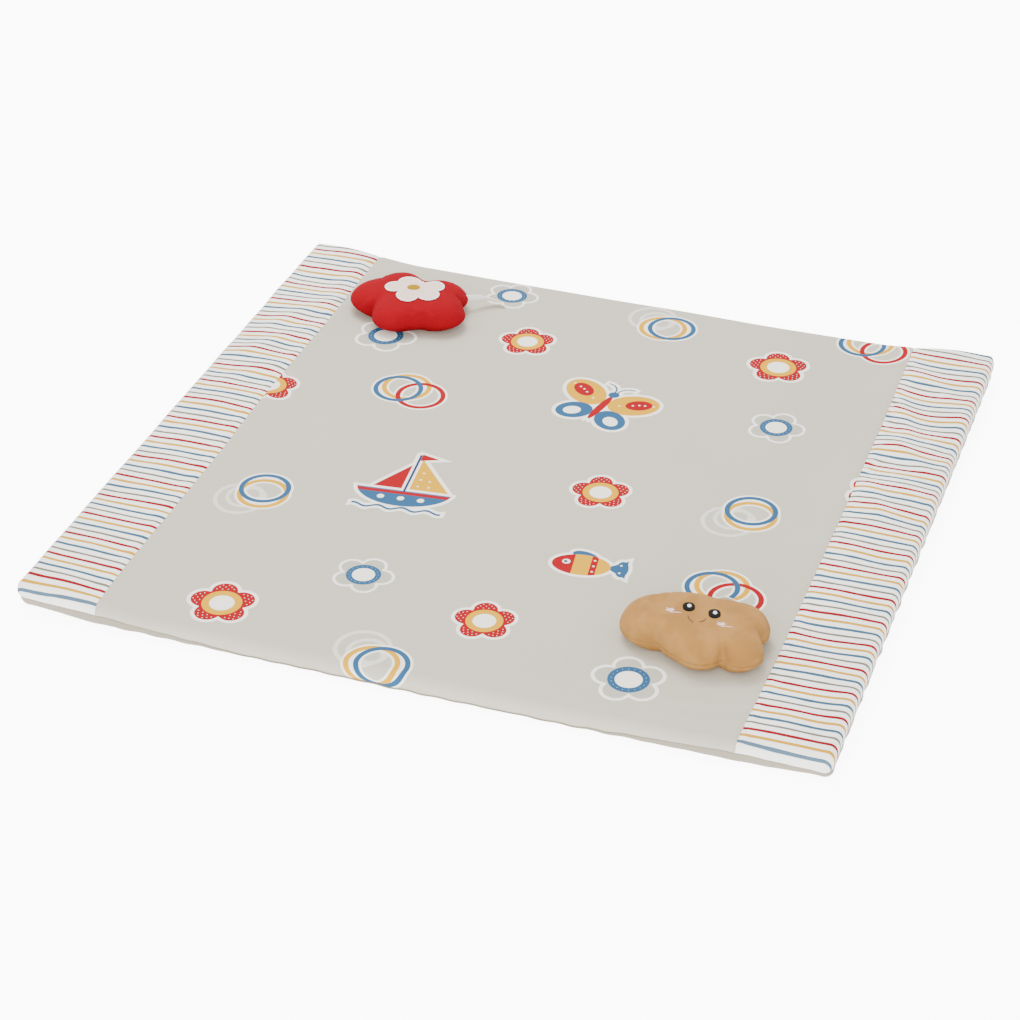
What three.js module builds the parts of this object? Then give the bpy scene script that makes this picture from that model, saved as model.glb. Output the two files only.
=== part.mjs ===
import * as THREE from 'three';

// A padded play mat with a stuffed flower and a stuffed cloud lying on it.
// Millimetres, +Z up. The origin is the middle of the mat's underside, and the front edge faces -Y.

const PIECE_GAP = 0.3; // between two sewn pieces that meet
const REST_GAP = 0.5; // between a soft toy and the mat under it
const CROWN_GAP = 0.8; // between the flower's crown and the cloth sewn on it

// The mat: a printed centre panel with a striped panel sewn to each side, over one plain backing.
const MAT_WIDTH = 1000;
const MAT_DEPTH = 945;
const HALF_WIDTH = MAT_WIDTH / 2;
const HALF_DEPTH = MAT_DEPTH / 2;
const SEAM_LEFT = -400; // the seams between the centre panel and the striped panels
const SEAM_RIGHT = 390;
const CORNER_RADIUS = 13;
const ROLL_IN = 9; // how far the rolled edge reaches in over the top
const ROLL_DOWN = 10; // and how far it reaches down the side

// The height of the top: lowest in the middle, with plumper striped sides.
const TOP_HEIGHT = 26;
const SIDE_LIFT = 10;
const LIFT_FROM = 330;
const LIFT_TO = 470;
const EDGE_SAG = 2; // the middle of the front and back edges is a little flatter
const EDGE_SAG_REACH = 70;
const EDGE_SAG_FROM = 200;
const GROOVE_DEPTH = 3.5; // where two top panels are sewn together
const GROOVE_HALF_WIDTH = 5;

// The perimeter seam joins the top panels to the backing. It climbs towards the striped sides.
const SEAM_LOW = 2.5;
const SEAM_HIGH = 10;
const SEAM_LOW_TO = 200; // it is low as far out as this, and high from the next line on
const SEAM_HIGH_FROM = 372;
const SEAM_INSET = 3; // the seam is pulled in from the widest line
const WALL_INSET = 0.4;
const BACKING_WALL = [
  { level: 0.6, inset: 1.8 },
  { level: 0.2, inset: 3 },
  { level: 0, inset: 5.5 },
];

// Soft ridges across the striped panels, from one end to the other on the plan.
const RIDGES = [
  { x1: -412, y1: 440, x2: -420, y2: 330, halfWidth: 13, height: 2.2 },
  { x1: -408, y1: 330, x2: -470, y2: 200, halfWidth: 14, height: 2.4 },
  { x1: -410, y1: 235, x2: -484, y2: 110, halfWidth: 14, height: 2.2 },
  { x1: -408, y1: 130, x2: -470, y2: 50, halfWidth: 13, height: 1.6 },
  { x1: 400, y1: 400, x2: 470, y2: 330, halfWidth: 14, height: 2 },
  { x1: 399, y1: 320, x2: 436, y2: 210, halfWidth: 13, height: 2.4 },
  { x1: 400, y1: 225, x2: 480, y2: 135, halfWidth: 14, height: 3 },
  { x1: 399, y1: 110, x2: 446, y2: 20, halfWidth: 13, height: 1.6 },
];

// Each ridge rises and dies away over these shares of its length, a little past both ends.
const RIDGE_RISE = [-0.15, 0.2];
const RIDGE_FALL = [0.8, 1.15];

// Grid lines: stations of a rolled edge, lines beside a sewn seam, and the widest step between lines.
const ROLL_ANGLES = [90, 67.5, 45, 22.5, 0];
const SEAM_STATIONS = [0, 3, 7, 14];
const CENTRE_STEP = 34;
const SIDE_STEP_X = 13;
const SIDE_STEP_Y = 21;

// Both toys lie turned by the same angle. Lobes are circles on the plan, from the toy's own middle.
const TOY_TURN = THREE.MathUtils.degToRad(19);
const FLOWER = {
  x: -300, y: 324, height: 41, rimHeight: 16, domePower: 3, flatReach: 0.5, sectors: 50, sharpness: 14,
  lobes: [
    { x: 0, y: 0, radius: 48 },
    { x: -8, y: 42, radius: 33 },
    { x: -49, y: 9, radius: 33 },
    { x: -17, y: -36, radius: 33 },
    { x: 44.5, y: -31, radius: 35 },
    { x: 50, y: 14, radius: 33 },
  ],
};
const APPLIQUE = {
  x: 7, y: -1, thickness: 1.5, sectors: 40, sharpness: 16,
  lobes: [
    { x: 0, y: 0, radius: 22 },
    { x: -7, y: 20, radius: 16 },
    { x: -28, y: 4, radius: 13.5 },
    { x: -8, y: -25, radius: 17 },
    { x: 21.5, y: -21.5, radius: 17 },
    { x: 31, y: 8, radius: 13.5 },
  ],
};
const FLOWER_CENTRE = {
  x: 7, y: -3, thickness: 1, sectors: 16, sharpness: 8,
  lobes: [{ x: -2, y: 0, radius: 7 }, { x: 2, y: 0, radius: 7 }],
};
const CLOUD = {
  x: 300, y: -310, height: 43, rimHeight: 16, domePower: 3.2, flatReach: 0.55, sectors: 56, sharpness: 14,
  lobes: [
    { x: 0, y: 4, radius: 50 },
    { x: -52, y: 23, radius: 39 },
    { x: -12, y: 27, radius: 41 },
    { x: 24, y: 16, radius: 38 },
    { x: 52, y: 8, radius: 34.5 },
    { x: 47, y: -39, radius: 28 },
    { x: 4, y: -28, radius: 33 },
    { x: -16, y: -8, radius: 32 },
  ],
};
const CLOUD_BACK_REACH = 0.985; // the lower panel is drawn in a little under the seam
const TOP_RINGS = [0.985, 0.94, 0.86, 0.74, 0.6, 0.42, 0.22];
const BOTTOM_RINGS = [0.985, 0.93, 0.83, 0.68, 0.5];
const SHEET_RINGS = [0.75, 0.5, 0.25];

// Ribbons sewn into the toys' seams. Height is above the mat; lean 0 stands on edge, and 90 is flat.
const RIBBON_WIDTH = 12;
const RIBBON_THICKNESS = 1;
const RIBBON_STEPS = 14;
const FLOWER_RIBBON = [
  { x: 84, y: 15.5, height: 19, lean: 0 },
  { x: 94, y: 19.5, height: 16.5, lean: 14 },
  { x: 103, y: 24, height: 13, lean: 30 },
  { x: 114, y: 27, height: 9.5, lean: 44 },
  { x: 125, y: 27.5, height: 6.2, lean: 52 },
  { x: 134, y: 25, height: 4.4, lean: 57 },
];
const CLOUD_RIBBON = [
  { x: 17, y: 60.2, height: 20, lean: 0 },
  { x: 28, y: 57.6, height: 23.5, lean: 5 },
  { x: 40, y: 53, height: 23, lean: 10 },
  { x: 52, y: 48.5, height: 19, lean: 25 },
  { x: 62, y: 46.5, height: 11.5, lean: 45 },
  { x: 71, y: 48, height: 4.6, lean: 57 },
];

const FINISH = {
  greyPrint: { color: 0xcdcac4, roughness: 0.62 },
  stripe: { color: 0xe3e0d8, roughness: 0.75 },
  backing: { color: 0xd8d2c4, roughness: 0.85 },
  redPlush: { color: 0xd90f1f, roughness: 0.9 },
  paleFelt: { color: 0xdfd6d0, roughness: 0.8 },
  yellowSatin: { color: 0xe6bd1c, roughness: 0.6 },
  beigePlush: { color: 0xc8a174, roughness: 0.9 },
  ribbon: { color: 0xe9e7e2, roughness: 0.55 },
};

/** A step from 0 to 1 between two values, level at both ends. */
const smooth = (value, from, to) => THREE.MathUtils.smoothstep(value, from, to);

/** A bell of height 1 at zero, that has fallen to about a third at one half width. */
const bell = (distance, halfWidth) => Math.exp(-((distance / halfWidth) ** 2));

/** The height of the mat's top before its grooves and ridges. */
function plainTop(x, y) {
  const lift = SIDE_LIFT * smooth(Math.abs(x), LIFT_FROM, LIFT_TO);
  const middle = 1 - smooth(Math.abs(x), EDGE_SAG_FROM, LIFT_TO);
  return TOP_HEIGHT + lift - EDGE_SAG * middle * bell(HALF_DEPTH - Math.abs(y), EDGE_SAG_REACH);
}

/** The height that a soft ridge adds at a point of the plan. */
function ridgeHeight(ridge, x, y) {
  const along = new THREE.Vector2(ridge.x2 - ridge.x1, ridge.y2 - ridge.y1);
  const from = new THREE.Vector2(x - ridge.x1, y - ridge.y1);
  const share = from.dot(along) / along.lengthSq();
  const across = Math.abs(from.cross(along)) / along.length();
  const fade = smooth(share, ...RIDGE_RISE) * (1 - smooth(share, ...RIDGE_FALL));
  return ridge.height * fade * bell(across, ridge.halfWidth);
}

/** The height of the mat's top with the groove at each panel seam and the ridges of the sides. */
function matTop(x, y) {
  const fromSeam = x < 0 ? SEAM_LEFT - x : x - SEAM_RIGHT;
  const groove = GROOVE_DEPTH * bell(fromSeam, GROOVE_HALF_WIDTH);
  const inSide = smooth(fromSeam, 0, SIDE_STEP_X);
  const ridges = RIDGES.reduce((sum, ridge) => sum + ridgeHeight(ridge, x, y), 0);
  return plainTop(x, y) - groove + inSide * ridges;
}

/** The height of the perimeter seam, and of the face between the top panels and the backing. */
function seamHeight(x) {
  const share = (Math.abs(x) - SEAM_LOW_TO) / (SEAM_HIGH_FROM - SEAM_LOW_TO);
  return THREE.MathUtils.lerp(SEAM_LOW, SEAM_HIGH, THREE.MathUtils.clamp(share, 0, 1));
}

/** A point of the square-cornered plan, moved to the round-cornered plan that lies inset inside it. */
function onPlan(x, y, inset) {
  const insideX = HALF_WIDTH - CORNER_RADIUS;
  const insideY = HALF_DEPTH - CORNER_RADIUS;
  const a = Math.max(0, (Math.abs(x) - insideX) / CORNER_RADIUS);
  const b = Math.max(0, (Math.abs(y) - insideY) / CORNER_RADIUS);
  const radius = CORNER_RADIUS - inset;
  const px = Math.min(Math.abs(x), insideX) + radius * a * Math.sqrt(1 - (b * b) / 2);
  const py = Math.min(Math.abs(y), insideY) + radius * b * Math.sqrt(1 - (a * a) / 2);
  return [Math.sign(x) * px, Math.sign(y) * py];
}

/** A point of the mat's top, rolled down towards the free edges. */
function topPoint(x, y) {
  const toEdge = Math.min(HALF_WIDTH - Math.abs(x), HALF_DEPTH - Math.abs(y));
  const share = THREE.MathUtils.clamp(1 - toEdge / ROLL_IN, 0, 1);
  const drop = ROLL_DOWN * (1 - Math.sqrt(1 - share * share));
  const [px, py] = onPlan(x, y, 0);
  return [px, py, matTop(px, py) - drop];
}

/** Distances in from a free edge at which a rolled edge has its grid lines. */
const rollStations = () =>
  ROLL_ANGLES.map((angle) => ROLL_IN * (1 - Math.sin(THREE.MathUtils.degToRad(angle))));

/** Even grid lines between two values, no further apart than the step, without the two ends. */
function evenly(from, to, step) {
  const count = Math.ceil((to - from) / step);
  return Array.from({ length: count - 1 }, (_, i) => from + ((to - from) * (i + 1)) / count);
}

/** Grid lines from one edge to the other: the stations at each end and even lines between. */
function gridLines(from, to, startStations, endStations, step) {
  const start = startStations.map((s) => from + s);
  const end = endStations.map((s) => to - s).reverse();
  return [...start, ...evenly(start[start.length - 1], end[0], step), ...end];
}

/** Collects points and triangles of one closed body. */
class Body {
  constructor() {
    this.points = [];
    this.faces = [];
  }

  /** Adds a row of points and returns their numbers. */
  row(points) {
    const first = this.points.length;
    this.points.push(...points);
    return points.map((_, i) => first + i);
  }

  /** Joins two rows with a band that faces left of the way the lower row runs. */
  band(lower, upper, closed) {
    const count = closed ? lower.length : lower.length - 1;
    for (let i = 0; i < count; i += 1) {
      const next = (i + 1) % lower.length;
      this.faces.push([lower[i], lower[next], upper[next]], [lower[i], upper[next], upper[i]]);
    }
  }

  /** Closes a ring with triangles to one point, turned over where the face looks down. */
  fan(ring, apex, down = false) {
    ring.forEach((point, i) => {
      const next = ring[(i + 1) % ring.length];
      this.faces.push(down ? [next, point, apex] : [point, next, apex]);
    });
  }

  /** The body as a mesh with a name and a finish. */
  mesh(name, finish) {
    const geometry = new THREE.BufferGeometry();
    geometry.setAttribute('position', new THREE.Float32BufferAttribute(this.points.flat(), 3));
    geometry.setIndex(this.faces.flat());
    geometry.computeVertexNormals();
    const mesh = new THREE.Mesh(geometry, new THREE.MeshStandardMaterial({ ...finish, metalness: 0 }));
    mesh.name = name;
    return mesh;
  }
}

/** The numbers round the rim of a grid, anticlockwise from its first corner. */
function rimOf(rows) {
  const last = rows.length - 1;
  const end = rows[0].length - 1;
  return [
    ...rows[0],
    ...rows.slice(1).map((row) => row[end]),
    ...rows[last].slice(0, end).reverse(),
    ...rows.slice(1, last).map((row) => row[0]).reverse(),
  ];
}

/** Adds a grid of points over the plan, facing up. */
function addGrid(body, xs, ys, place) {
  const rows = ys.map((y) => body.row(xs.map((x) => place(x, y))));
  for (let j = 1; j < rows.length; j += 1) body.band(rows[j - 1], rows[j], false);
  return rows;
}

/** Closes an outline of grid points with one strip for each pair of neighbouring x lines. */
function addColumns(body, outline, xCount, yCount, down) {
  const front = outline.slice(0, xCount);
  const right = outline.slice(xCount - 1, xCount + yCount - 1);
  const back = outline.slice(xCount + yCount - 2, 2 * xCount + yCount - 2).reverse();
  const left = [...outline.slice(2 * xCount + yCount - 3), outline[0]].reverse();
  const push = (a, b, c) => body.faces.push(down ? [a, c, b] : [a, b, c]);
  for (let i = 1; i < xCount - 2; i += 1) {
    push(front[i], front[i + 1], back[i + 1]);
    push(front[i], back[i + 1], back[i]);
  }
  for (let j = 1; j < yCount; j += 1) {
    push(front[1], left[j], left[j - 1]);
    push(front[xCount - 2], right[j - 1], right[j]);
  }
  push(front[1], back[1], left[yCount - 1]);
  push(front[xCount - 2], right[yCount - 1], back[xCount - 2]);
}

/** Moves an outline of plan points to an inset and a height. */
const outlineAt = (corners, inset, heightAt) =>
  corners.map(([x, y]) => {
    const [px, py] = onPlan(x, y, inset);
    return [px, py, heightAt(x)];
  });

/** The plan points round the rim of a grid, anticlockwise from the front left. */
function rimPoints(xs, ys) {
  const grid = ys.map((y) => xs.map((x) => [x, y]));
  return rimOf(grid);
}

/** One top panel: its padded top, its side walls and its underside along the perimeter seam. */
function topPanel(name, finish, xs, ys) {
  const body = new Body();
  const topRim = rimOf(addGrid(body, xs, ys, topPoint));
  const rim = rimPoints(xs, ys);
  const under = (x) => seamHeight(x) + PIECE_GAP;
  const middle = outlineAt(rim, WALL_INSET, under).map(([x, y, z], i) => {
    return [x, y, (z + body.points[topRim[i]][2]) / 2];
  });
  const middleRing = body.row(middle);
  const lowRing = body.row(outlineAt(rim, SEAM_INSET, under));
  body.band(middleRing, topRim, true);
  body.band(lowRing, middleRing, true);
  addColumns(body, lowRing, xs.length, ys.length, true);
  return body.mesh(name, finish);
}

/** The backing: one plain lower cover that lies flat on the floor and meets the top panels at the seam. */
function backing() {
  const edge = rollStations();
  const breaks = [-SEAM_HIGH_FROM, -SEAM_LOW_TO, SEAM_LOW_TO, SEAM_HIGH_FROM];
  const start = edge.map((s) => s - HALF_WIDTH);
  const end = edge.map((s) => HALF_WIDTH - s).reverse();
  const xs = [...start, ...breaks, ...end];
  const ys = gridLines(-HALF_DEPTH, HALF_DEPTH, edge, edge, MAT_DEPTH);
  const body = new Body();
  const rim = rimPoints(xs, ys);
  let ring = body.row(outlineAt(rim, SEAM_INSET, seamHeight));
  addColumns(body, ring, xs.length, ys.length, false);
  BACKING_WALL.forEach(({ level, inset }) => {
    const lower = body.row(outlineAt(rim, inset, (x) => level * seamHeight(x)));
    body.band(lower, ring, true);
    ring = lower;
  });
  addColumns(body, ring, xs.length, ys.length, true);
  return body.mesh('backing', FINISH.backing);
}

/** The printed middle of the top. */
function centrePanel() {
  const xs = [
    ...SEAM_STATIONS.map((s) => SEAM_LEFT + PIECE_GAP / 2 + s),
    ...gridLines(-SEAM_HIGH_FROM, -SEAM_LOW_TO, [0], [0], CENTRE_STEP),
    ...evenly(-SEAM_LOW_TO, SEAM_LOW_TO, CENTRE_STEP),
    ...gridLines(SEAM_LOW_TO, SEAM_HIGH_FROM, [0], [0], CENTRE_STEP),
    ...SEAM_STATIONS.map((s) => SEAM_RIGHT - PIECE_GAP / 2 - s).reverse(),
  ];
  const ys = gridLines(-HALF_DEPTH, HALF_DEPTH, rollStations(), rollStations(), CENTRE_STEP);
  return topPanel('centre_panel', FINISH.greyPrint, xs, ys);
}

/** One striped side of the top; side is -1 for the left and 1 for the right. */
function stripePanel(name, side) {
  const inner = (side > 0 ? SEAM_RIGHT : -SEAM_LEFT) + PIECE_GAP / 2;
  const lines = gridLines(inner, HALF_WIDTH, SEAM_STATIONS, rollStations(), SIDE_STEP_X);
  const xs = side > 0 ? lines : lines.map((x) => -x).reverse();
  const ys = gridLines(-HALF_DEPTH, HALF_DEPTH, rollStations(), rollStations(), SIDE_STEP_Y);
  return topPanel(name, FINISH.stripe, xs, ys);
}

/** How far a lobed outline reaches from its middle in one direction. */
function lobedReach({ lobes, sharpness }, angle) {
  const dx = Math.cos(angle);
  const dy = Math.sin(angle);
  const total = lobes.reduce((sum, { x, y, radius }) => {
    const along = x * dx + y * dy;
    const left = radius * radius - (x * x + y * y - along * along);
    const exit = left > 0 ? Math.max(0, along + Math.sqrt(left)) : 0;
    return sum + exit ** sharpness;
  }, 0);
  return total ** (1 / sharpness);
}

/** The mat's height under a point given in a toy's own plan. */
function groundUnder(toy, x, y) {
  const cos = Math.cos(TOY_TURN);
  const sin = Math.sin(TOY_TURN);
  return plainTop(toy.x + x * cos - y * sin, toy.y + x * sin + y * cos);
}

/** The height of a toy's upper surface over the mat, at a share of its reach. */
const domeHeight = ({ height, rimHeight, domePower }, share) =>
  rimHeight + (height - rimHeight) * Math.sqrt(Math.max(0, 1 - share ** domePower));

/** The height of a toy's lower surface over the mat: flat in the middle, rolled up to the rim. */
function bellyHeight({ rimHeight, flatReach }, share) {
  const rolled = Math.max(0, (share - flatReach) / (1 - flatReach));
  return rimHeight * (1 - Math.sqrt(Math.max(0, 1 - rolled * rolled)));
}

/** The points of one ring of a toy, at a share of its lobed reach. */
function toyRing(toy, share, heightOver) {
  return Array.from({ length: toy.sectors }, (_, i) => {
    const angle = (2 * Math.PI * i) / toy.sectors;
    const reach = share * lobedReach(toy, angle);
    const x = reach * Math.cos(angle);
    const y = reach * Math.sin(angle);
    return [x, y, groundUnder(toy, x, y) + REST_GAP + heightOver];
  });
}

/** The middle point of a toy at a height over the mat. */
const toyMiddle = (toy, heightOver) => [[0, 0, groundUnder(toy, 0, 0) + REST_GAP + heightOver]];

/** Adds the crowned upper surface of a toy above a ring. */
function addDome(body, toy, rim) {
  let ring = rim;
  TOP_RINGS.forEach((share) => {
    const upper = body.row(toyRing(toy, share, domeHeight(toy, share)));
    body.band(ring, upper, true);
    ring = upper;
  });
  body.fan(ring, body.row(toyMiddle(toy, toy.height))[0]);
}

/** Adds the underside of a toy below a ring. */
function addBelly(body, toy, rim, reach) {
  let ring = rim;
  BOTTOM_RINGS.forEach((share) => {
    const lower = body.row(toyRing(toy, share * reach, bellyHeight(toy, share)));
    body.band(lower, ring, true);
    ring = lower;
  });
  body.fan(ring, body.row(toyMiddle(toy, 0))[0], true);
}

/** The stuffed flower: five puffy petals in one cover. */
function flowerBody() {
  const body = new Body();
  const rim = body.row(toyRing(FLOWER, 1, FLOWER.rimHeight));
  addDome(body, FLOWER, rim);
  addBelly(body, FLOWER, rim, 1);
  return body.mesh('flower_body', FINISH.redPlush);
}

/** The height of the flower's crown at a point of its own plan. */
function crownAt(x, y) {
  const share = Math.hypot(x, y) / lobedReach(FLOWER, Math.atan2(y, x));
  return groundUnder(FLOWER, x, y) + REST_GAP + domeHeight(FLOWER, share);
}

/** A lobed piece of cloth that lies on the flower's crown, at a height over it. */
function crownPiece(name, finish, piece, lift) {
  const body = new Body();
  const ringAt = (share, over) =>
    Array.from({ length: piece.sectors }, (_, i) => {
      const angle = (2 * Math.PI * i) / piece.sectors;
      const reach = share * lobedReach(piece, angle);
      const x = piece.x + reach * Math.cos(angle);
      const y = piece.y + reach * Math.sin(angle);
      return [x, y, crownAt(x, y) + over];
    });
  const addFace = (rim, over, down) => {
    let ring = rim;
    SHEET_RINGS.forEach((share) => {
      const inner = body.row(ringAt(share, over));
      if (down) body.band(inner, ring, true);
      else body.band(ring, inner, true);
      ring = inner;
    });
    const middle = [piece.x, piece.y, crownAt(piece.x, piece.y) + over];
    body.fan(ring, body.row([middle])[0], down);
  };
  const lower = body.row(ringAt(1, lift));
  const upper = body.row(ringAt(1, lift + piece.thickness));
  body.band(lower, upper, true);
  addFace(upper, lift + piece.thickness, false);
  addFace(lower, lift, true);
  return body.mesh(name, finish);
}

/** The cloud's crowned front, down to the seam round it. */
function cloudFront() {
  const body = new Body();
  const rim = body.row(toyRing(CLOUD, 1, CLOUD.rimHeight));
  addDome(body, CLOUD, rim);
  body.fan(rim, body.row(toyMiddle(CLOUD, CLOUD.rimHeight))[0], true);
  return body.mesh('cloud_front', FINISH.beigePlush);
}

/** The cloud's flatter back, from the mat up to the seam. */
function cloudBack() {
  const body = new Body();
  const seam = CLOUD.rimHeight - PIECE_GAP;
  const toy = { ...CLOUD, rimHeight: seam };
  const rim = body.row(toyRing(toy, CLOUD_BACK_REACH, seam));
  addBelly(body, toy, rim, CLOUD_BACK_REACH);
  body.fan(rim, body.row(toyMiddle(toy, seam))[0]);
  return body.mesh('cloud_back', FINISH.beigePlush);
}

/** A ribbon that follows its stations and leans over from standing on edge to lying flat. */
function ribbon(name, toy, stations) {
  const place = ({ x, y, height }) => new THREE.Vector3(x, y, groundUnder(toy, x, y) + height);
  const path = new THREE.CatmullRomCurve3(stations.map(place));
  const body = new Body();
  let last = null;
  for (let i = 0; i <= RIBBON_STEPS; i += 1) {
    const share = i / RIBBON_STEPS;
    const at = share * (stations.length - 1);
    const from = Math.min(Math.floor(at), stations.length - 2);
    const lean = THREE.MathUtils.lerp(stations[from].lean, stations[from + 1].lean, at - from);
    const middle = path.getPoint(share);
    const along = path.getTangent(share);
    const side = new THREE.Vector3(along.y, -along.x, 0).normalize();
    const up = new THREE.Vector3().crossVectors(side, along).normalize();
    const turn = THREE.MathUtils.degToRad(lean);
    const across = up.clone().multiplyScalar(Math.cos(turn)).addScaledVector(side, Math.sin(turn));
    const out = new THREE.Vector3().crossVectors(across, along).normalize();
    const corner = (a, b) =>
      middle.clone().addScaledVector(across, (a * RIBBON_WIDTH) / 2)
        .addScaledVector(out, (b * RIBBON_THICKNESS) / 2).toArray();
    const ring = body.row([corner(-1, -1), corner(-1, 1), corner(1, 1), corner(1, -1)]);
    if (last) body.band(last, ring, true);
    else body.faces.push([ring[0], ring[2], ring[1]], [ring[0], ring[3], ring[2]]);
    last = ring;
  }
  body.faces.push([last[0], last[1], last[2]], [last[0], last[2], last[3]]);
  return body.mesh(name, FINISH.ribbon);
}

/** A group for one toy, turned and placed on the mat. */
function toyGroup(toy, pieces) {
  const toys = new THREE.Group();
  toys.position.set(toy.x, toy.y, 0);
  toys.rotation.z = TOY_TURN;
  toys.add(...pieces);
  return toys;
}

const centreLift = CROWN_GAP + APPLIQUE.thickness + PIECE_GAP;
const group = new THREE.Group();
group.add(
  backing(),
  centrePanel(),
  stripePanel('stripe_panel_left', -1),
  stripePanel('stripe_panel_right', 1),
  toyGroup(FLOWER, [
    flowerBody(),
    crownPiece('flower_applique', FINISH.paleFelt, APPLIQUE, CROWN_GAP),
    crownPiece('flower_centre', FINISH.yellowSatin, FLOWER_CENTRE, centreLift),
    ribbon('flower_strap', FLOWER, FLOWER_RIBBON),
  ]),
  toyGroup(CLOUD, [
    cloudFront(),
    cloudBack(),
    ribbon('cloud_strap', CLOUD, CLOUD_RIBBON),
  ]),
);

export default group;
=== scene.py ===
"""A padded play mat with a stuffed flower and a stuffed cloud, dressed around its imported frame.

Shapes are worked out in millimetres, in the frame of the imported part, and put into meshes in metres.
"""

import logging
import math
from collections.abc import Callable
from dataclasses import dataclass, field
from enum import Enum

import bpy
import numpy as np
from mathutils import Matrix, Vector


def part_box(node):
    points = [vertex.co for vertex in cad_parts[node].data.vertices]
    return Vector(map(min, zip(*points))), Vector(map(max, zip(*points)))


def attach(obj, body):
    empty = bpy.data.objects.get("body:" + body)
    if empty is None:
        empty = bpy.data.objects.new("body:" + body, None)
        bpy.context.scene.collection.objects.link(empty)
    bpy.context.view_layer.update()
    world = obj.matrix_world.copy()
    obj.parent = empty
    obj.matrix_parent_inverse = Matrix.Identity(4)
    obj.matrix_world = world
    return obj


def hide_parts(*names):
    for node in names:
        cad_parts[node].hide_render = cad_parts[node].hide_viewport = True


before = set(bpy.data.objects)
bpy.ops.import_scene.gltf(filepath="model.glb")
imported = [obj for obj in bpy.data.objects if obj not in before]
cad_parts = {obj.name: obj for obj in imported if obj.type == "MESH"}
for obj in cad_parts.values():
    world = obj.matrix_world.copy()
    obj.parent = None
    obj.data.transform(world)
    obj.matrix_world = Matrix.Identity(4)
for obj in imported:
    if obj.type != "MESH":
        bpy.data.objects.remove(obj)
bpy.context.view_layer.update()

Array = np.ndarray
Colour = tuple[float, float, float]
MM = 0.001
BODY = "root"
log = logging.getLogger("play_mat")


def srgb(red: int, green: int, blue: int) -> Colour:
    """Turns a colour of 0 to 255 as seen on a screen into the linear colour that a shader takes."""
    shares = [value / 255 for value in (red, green, blue)]
    return tuple(s / 12.92 if s <= 0.04045 else ((s + 0.055) / 1.055) ** 2.4 for s in shares)


def bell(distance: Array, half_width: float) -> Array:
    """A bell of height 1 at zero: e to the minus square of distance over half width."""
    return np.exp(-((distance / half_width) ** 2))


def smooth(value: Array, start: float, end: float) -> Array:
    """A step from 0 at start to 1 at end, level at both: three squares less two cubes of the share."""
    share = np.clip((value - start) / (end - start), 0, 1)
    return share * share * (3 - 2 * share)


def turned(x: Array, y: Array, turn: float, to: tuple[float, float] = (0.0, 0.0)) -> tuple[Array, Array]:
    """Turns points about the origin by so many radians, and moves the origin to the given place."""
    cos, sin = math.cos(turn), math.sin(turn)
    return to[0] + x * cos - y * sin, to[1] + x * sin + y * cos


@dataclass(frozen=True)
class Waves:
    """Soft uneven waves: a sum of sines with seeded lengths, directions and phases."""

    seed: int
    shortest: float
    longest: float
    count: int = 7

    def at(self, x: Array, y: Array) -> Array:
        """Height of the waves at points of a plane.

        Args:
            x: First coordinates in millimetres.
            y: Second coordinates, of the same shape.

        Returns:
            Values of about -1 to 1: the sum of the sines over the root of their number.
        """
        draw = np.random.default_rng(self.seed)
        turn_rate = 2 * math.pi / draw.uniform(self.shortest, self.longest, self.count)
        heading = draw.uniform(0, 2 * math.pi, self.count)
        phase = draw.uniform(0, 2 * math.pi, self.count)
        angle = np.multiply.outer(x, turn_rate * np.cos(heading))
        angle += np.multiply.outer(y, turn_rate * np.sin(heading)) + phase
        return np.sin(angle).sum(-1) / math.sqrt(self.count)


@dataclass
class Surface:
    """Points in millimetres with their faces, ready to become a mesh."""

    points: Array
    faces: list[Array]
    cloth: Array | None = None

    def piece(self, name: str) -> bpy.types.Object:
        """Makes a smooth mesh object of the surface.

        Args:
            name: The piece's name.

        Returns:
            The object, at the origin, with the cloth's own coordinates as its attribute "cloth".
        """
        mesh = bpy.data.meshes.new(name)
        faces = [row for block in self.faces for row in block.tolist()]
        mesh.from_pydata((self.points * MM).tolist(), [], faces)
        mesh.polygons.foreach_set("use_smooth", np.ones(len(mesh.polygons), bool))
        if self.cloth is not None:
            flat = np.column_stack([self.cloth, np.zeros(len(self.cloth))])
            attribute = mesh.attributes.new("cloth", "FLOAT_VECTOR", "POINT")
            attribute.data.foreach_set("vector", flat.astype(np.float32).ravel())
        mesh.validate()
        made = bpy.data.objects.new(name, mesh)
        bpy.context.scene.collection.objects.link(made)
        return made


def fetch(items: object, name: str, width: int, kind: type = np.float32) -> Array:
    """Reads one property of all the vertices, faces or values of a mesh.

    Args:
        items: The mesh's own list of them.
        name: The property's name.
        width: How many numbers it has.
        kind: The kind of number.

    Returns:
        One row for each item.
    """
    flat = np.zeros(len(items) * width, kind)
    items.foreach_get(name, flat)
    return flat.reshape(-1, width)


def bands(lower: Array, upper: Array) -> Array:
    """Quads between two rings of point numbers, facing left of the way the lower one runs."""
    return np.column_stack([lower, np.roll(lower, -1), np.roll(upper, -1), upper])


def grid_faces(index: Array) -> Array:
    """Quads of a whole grid of point numbers, anticlockwise as seen from above."""
    corners = [index[:-1, :-1], index[:-1, 1:], index[1:, 1:], index[1:, :-1]]
    return np.stack([corner.ravel() for corner in corners], 1)


def rim_of(grid: Array) -> Array:
    """What stands round the border of a grid, anticlockwise from its first corner."""
    return np.concatenate([grid[0], grid[1:, -1], grid[-1, -2::-1], grid[-2:0:-1, 0]])


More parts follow.
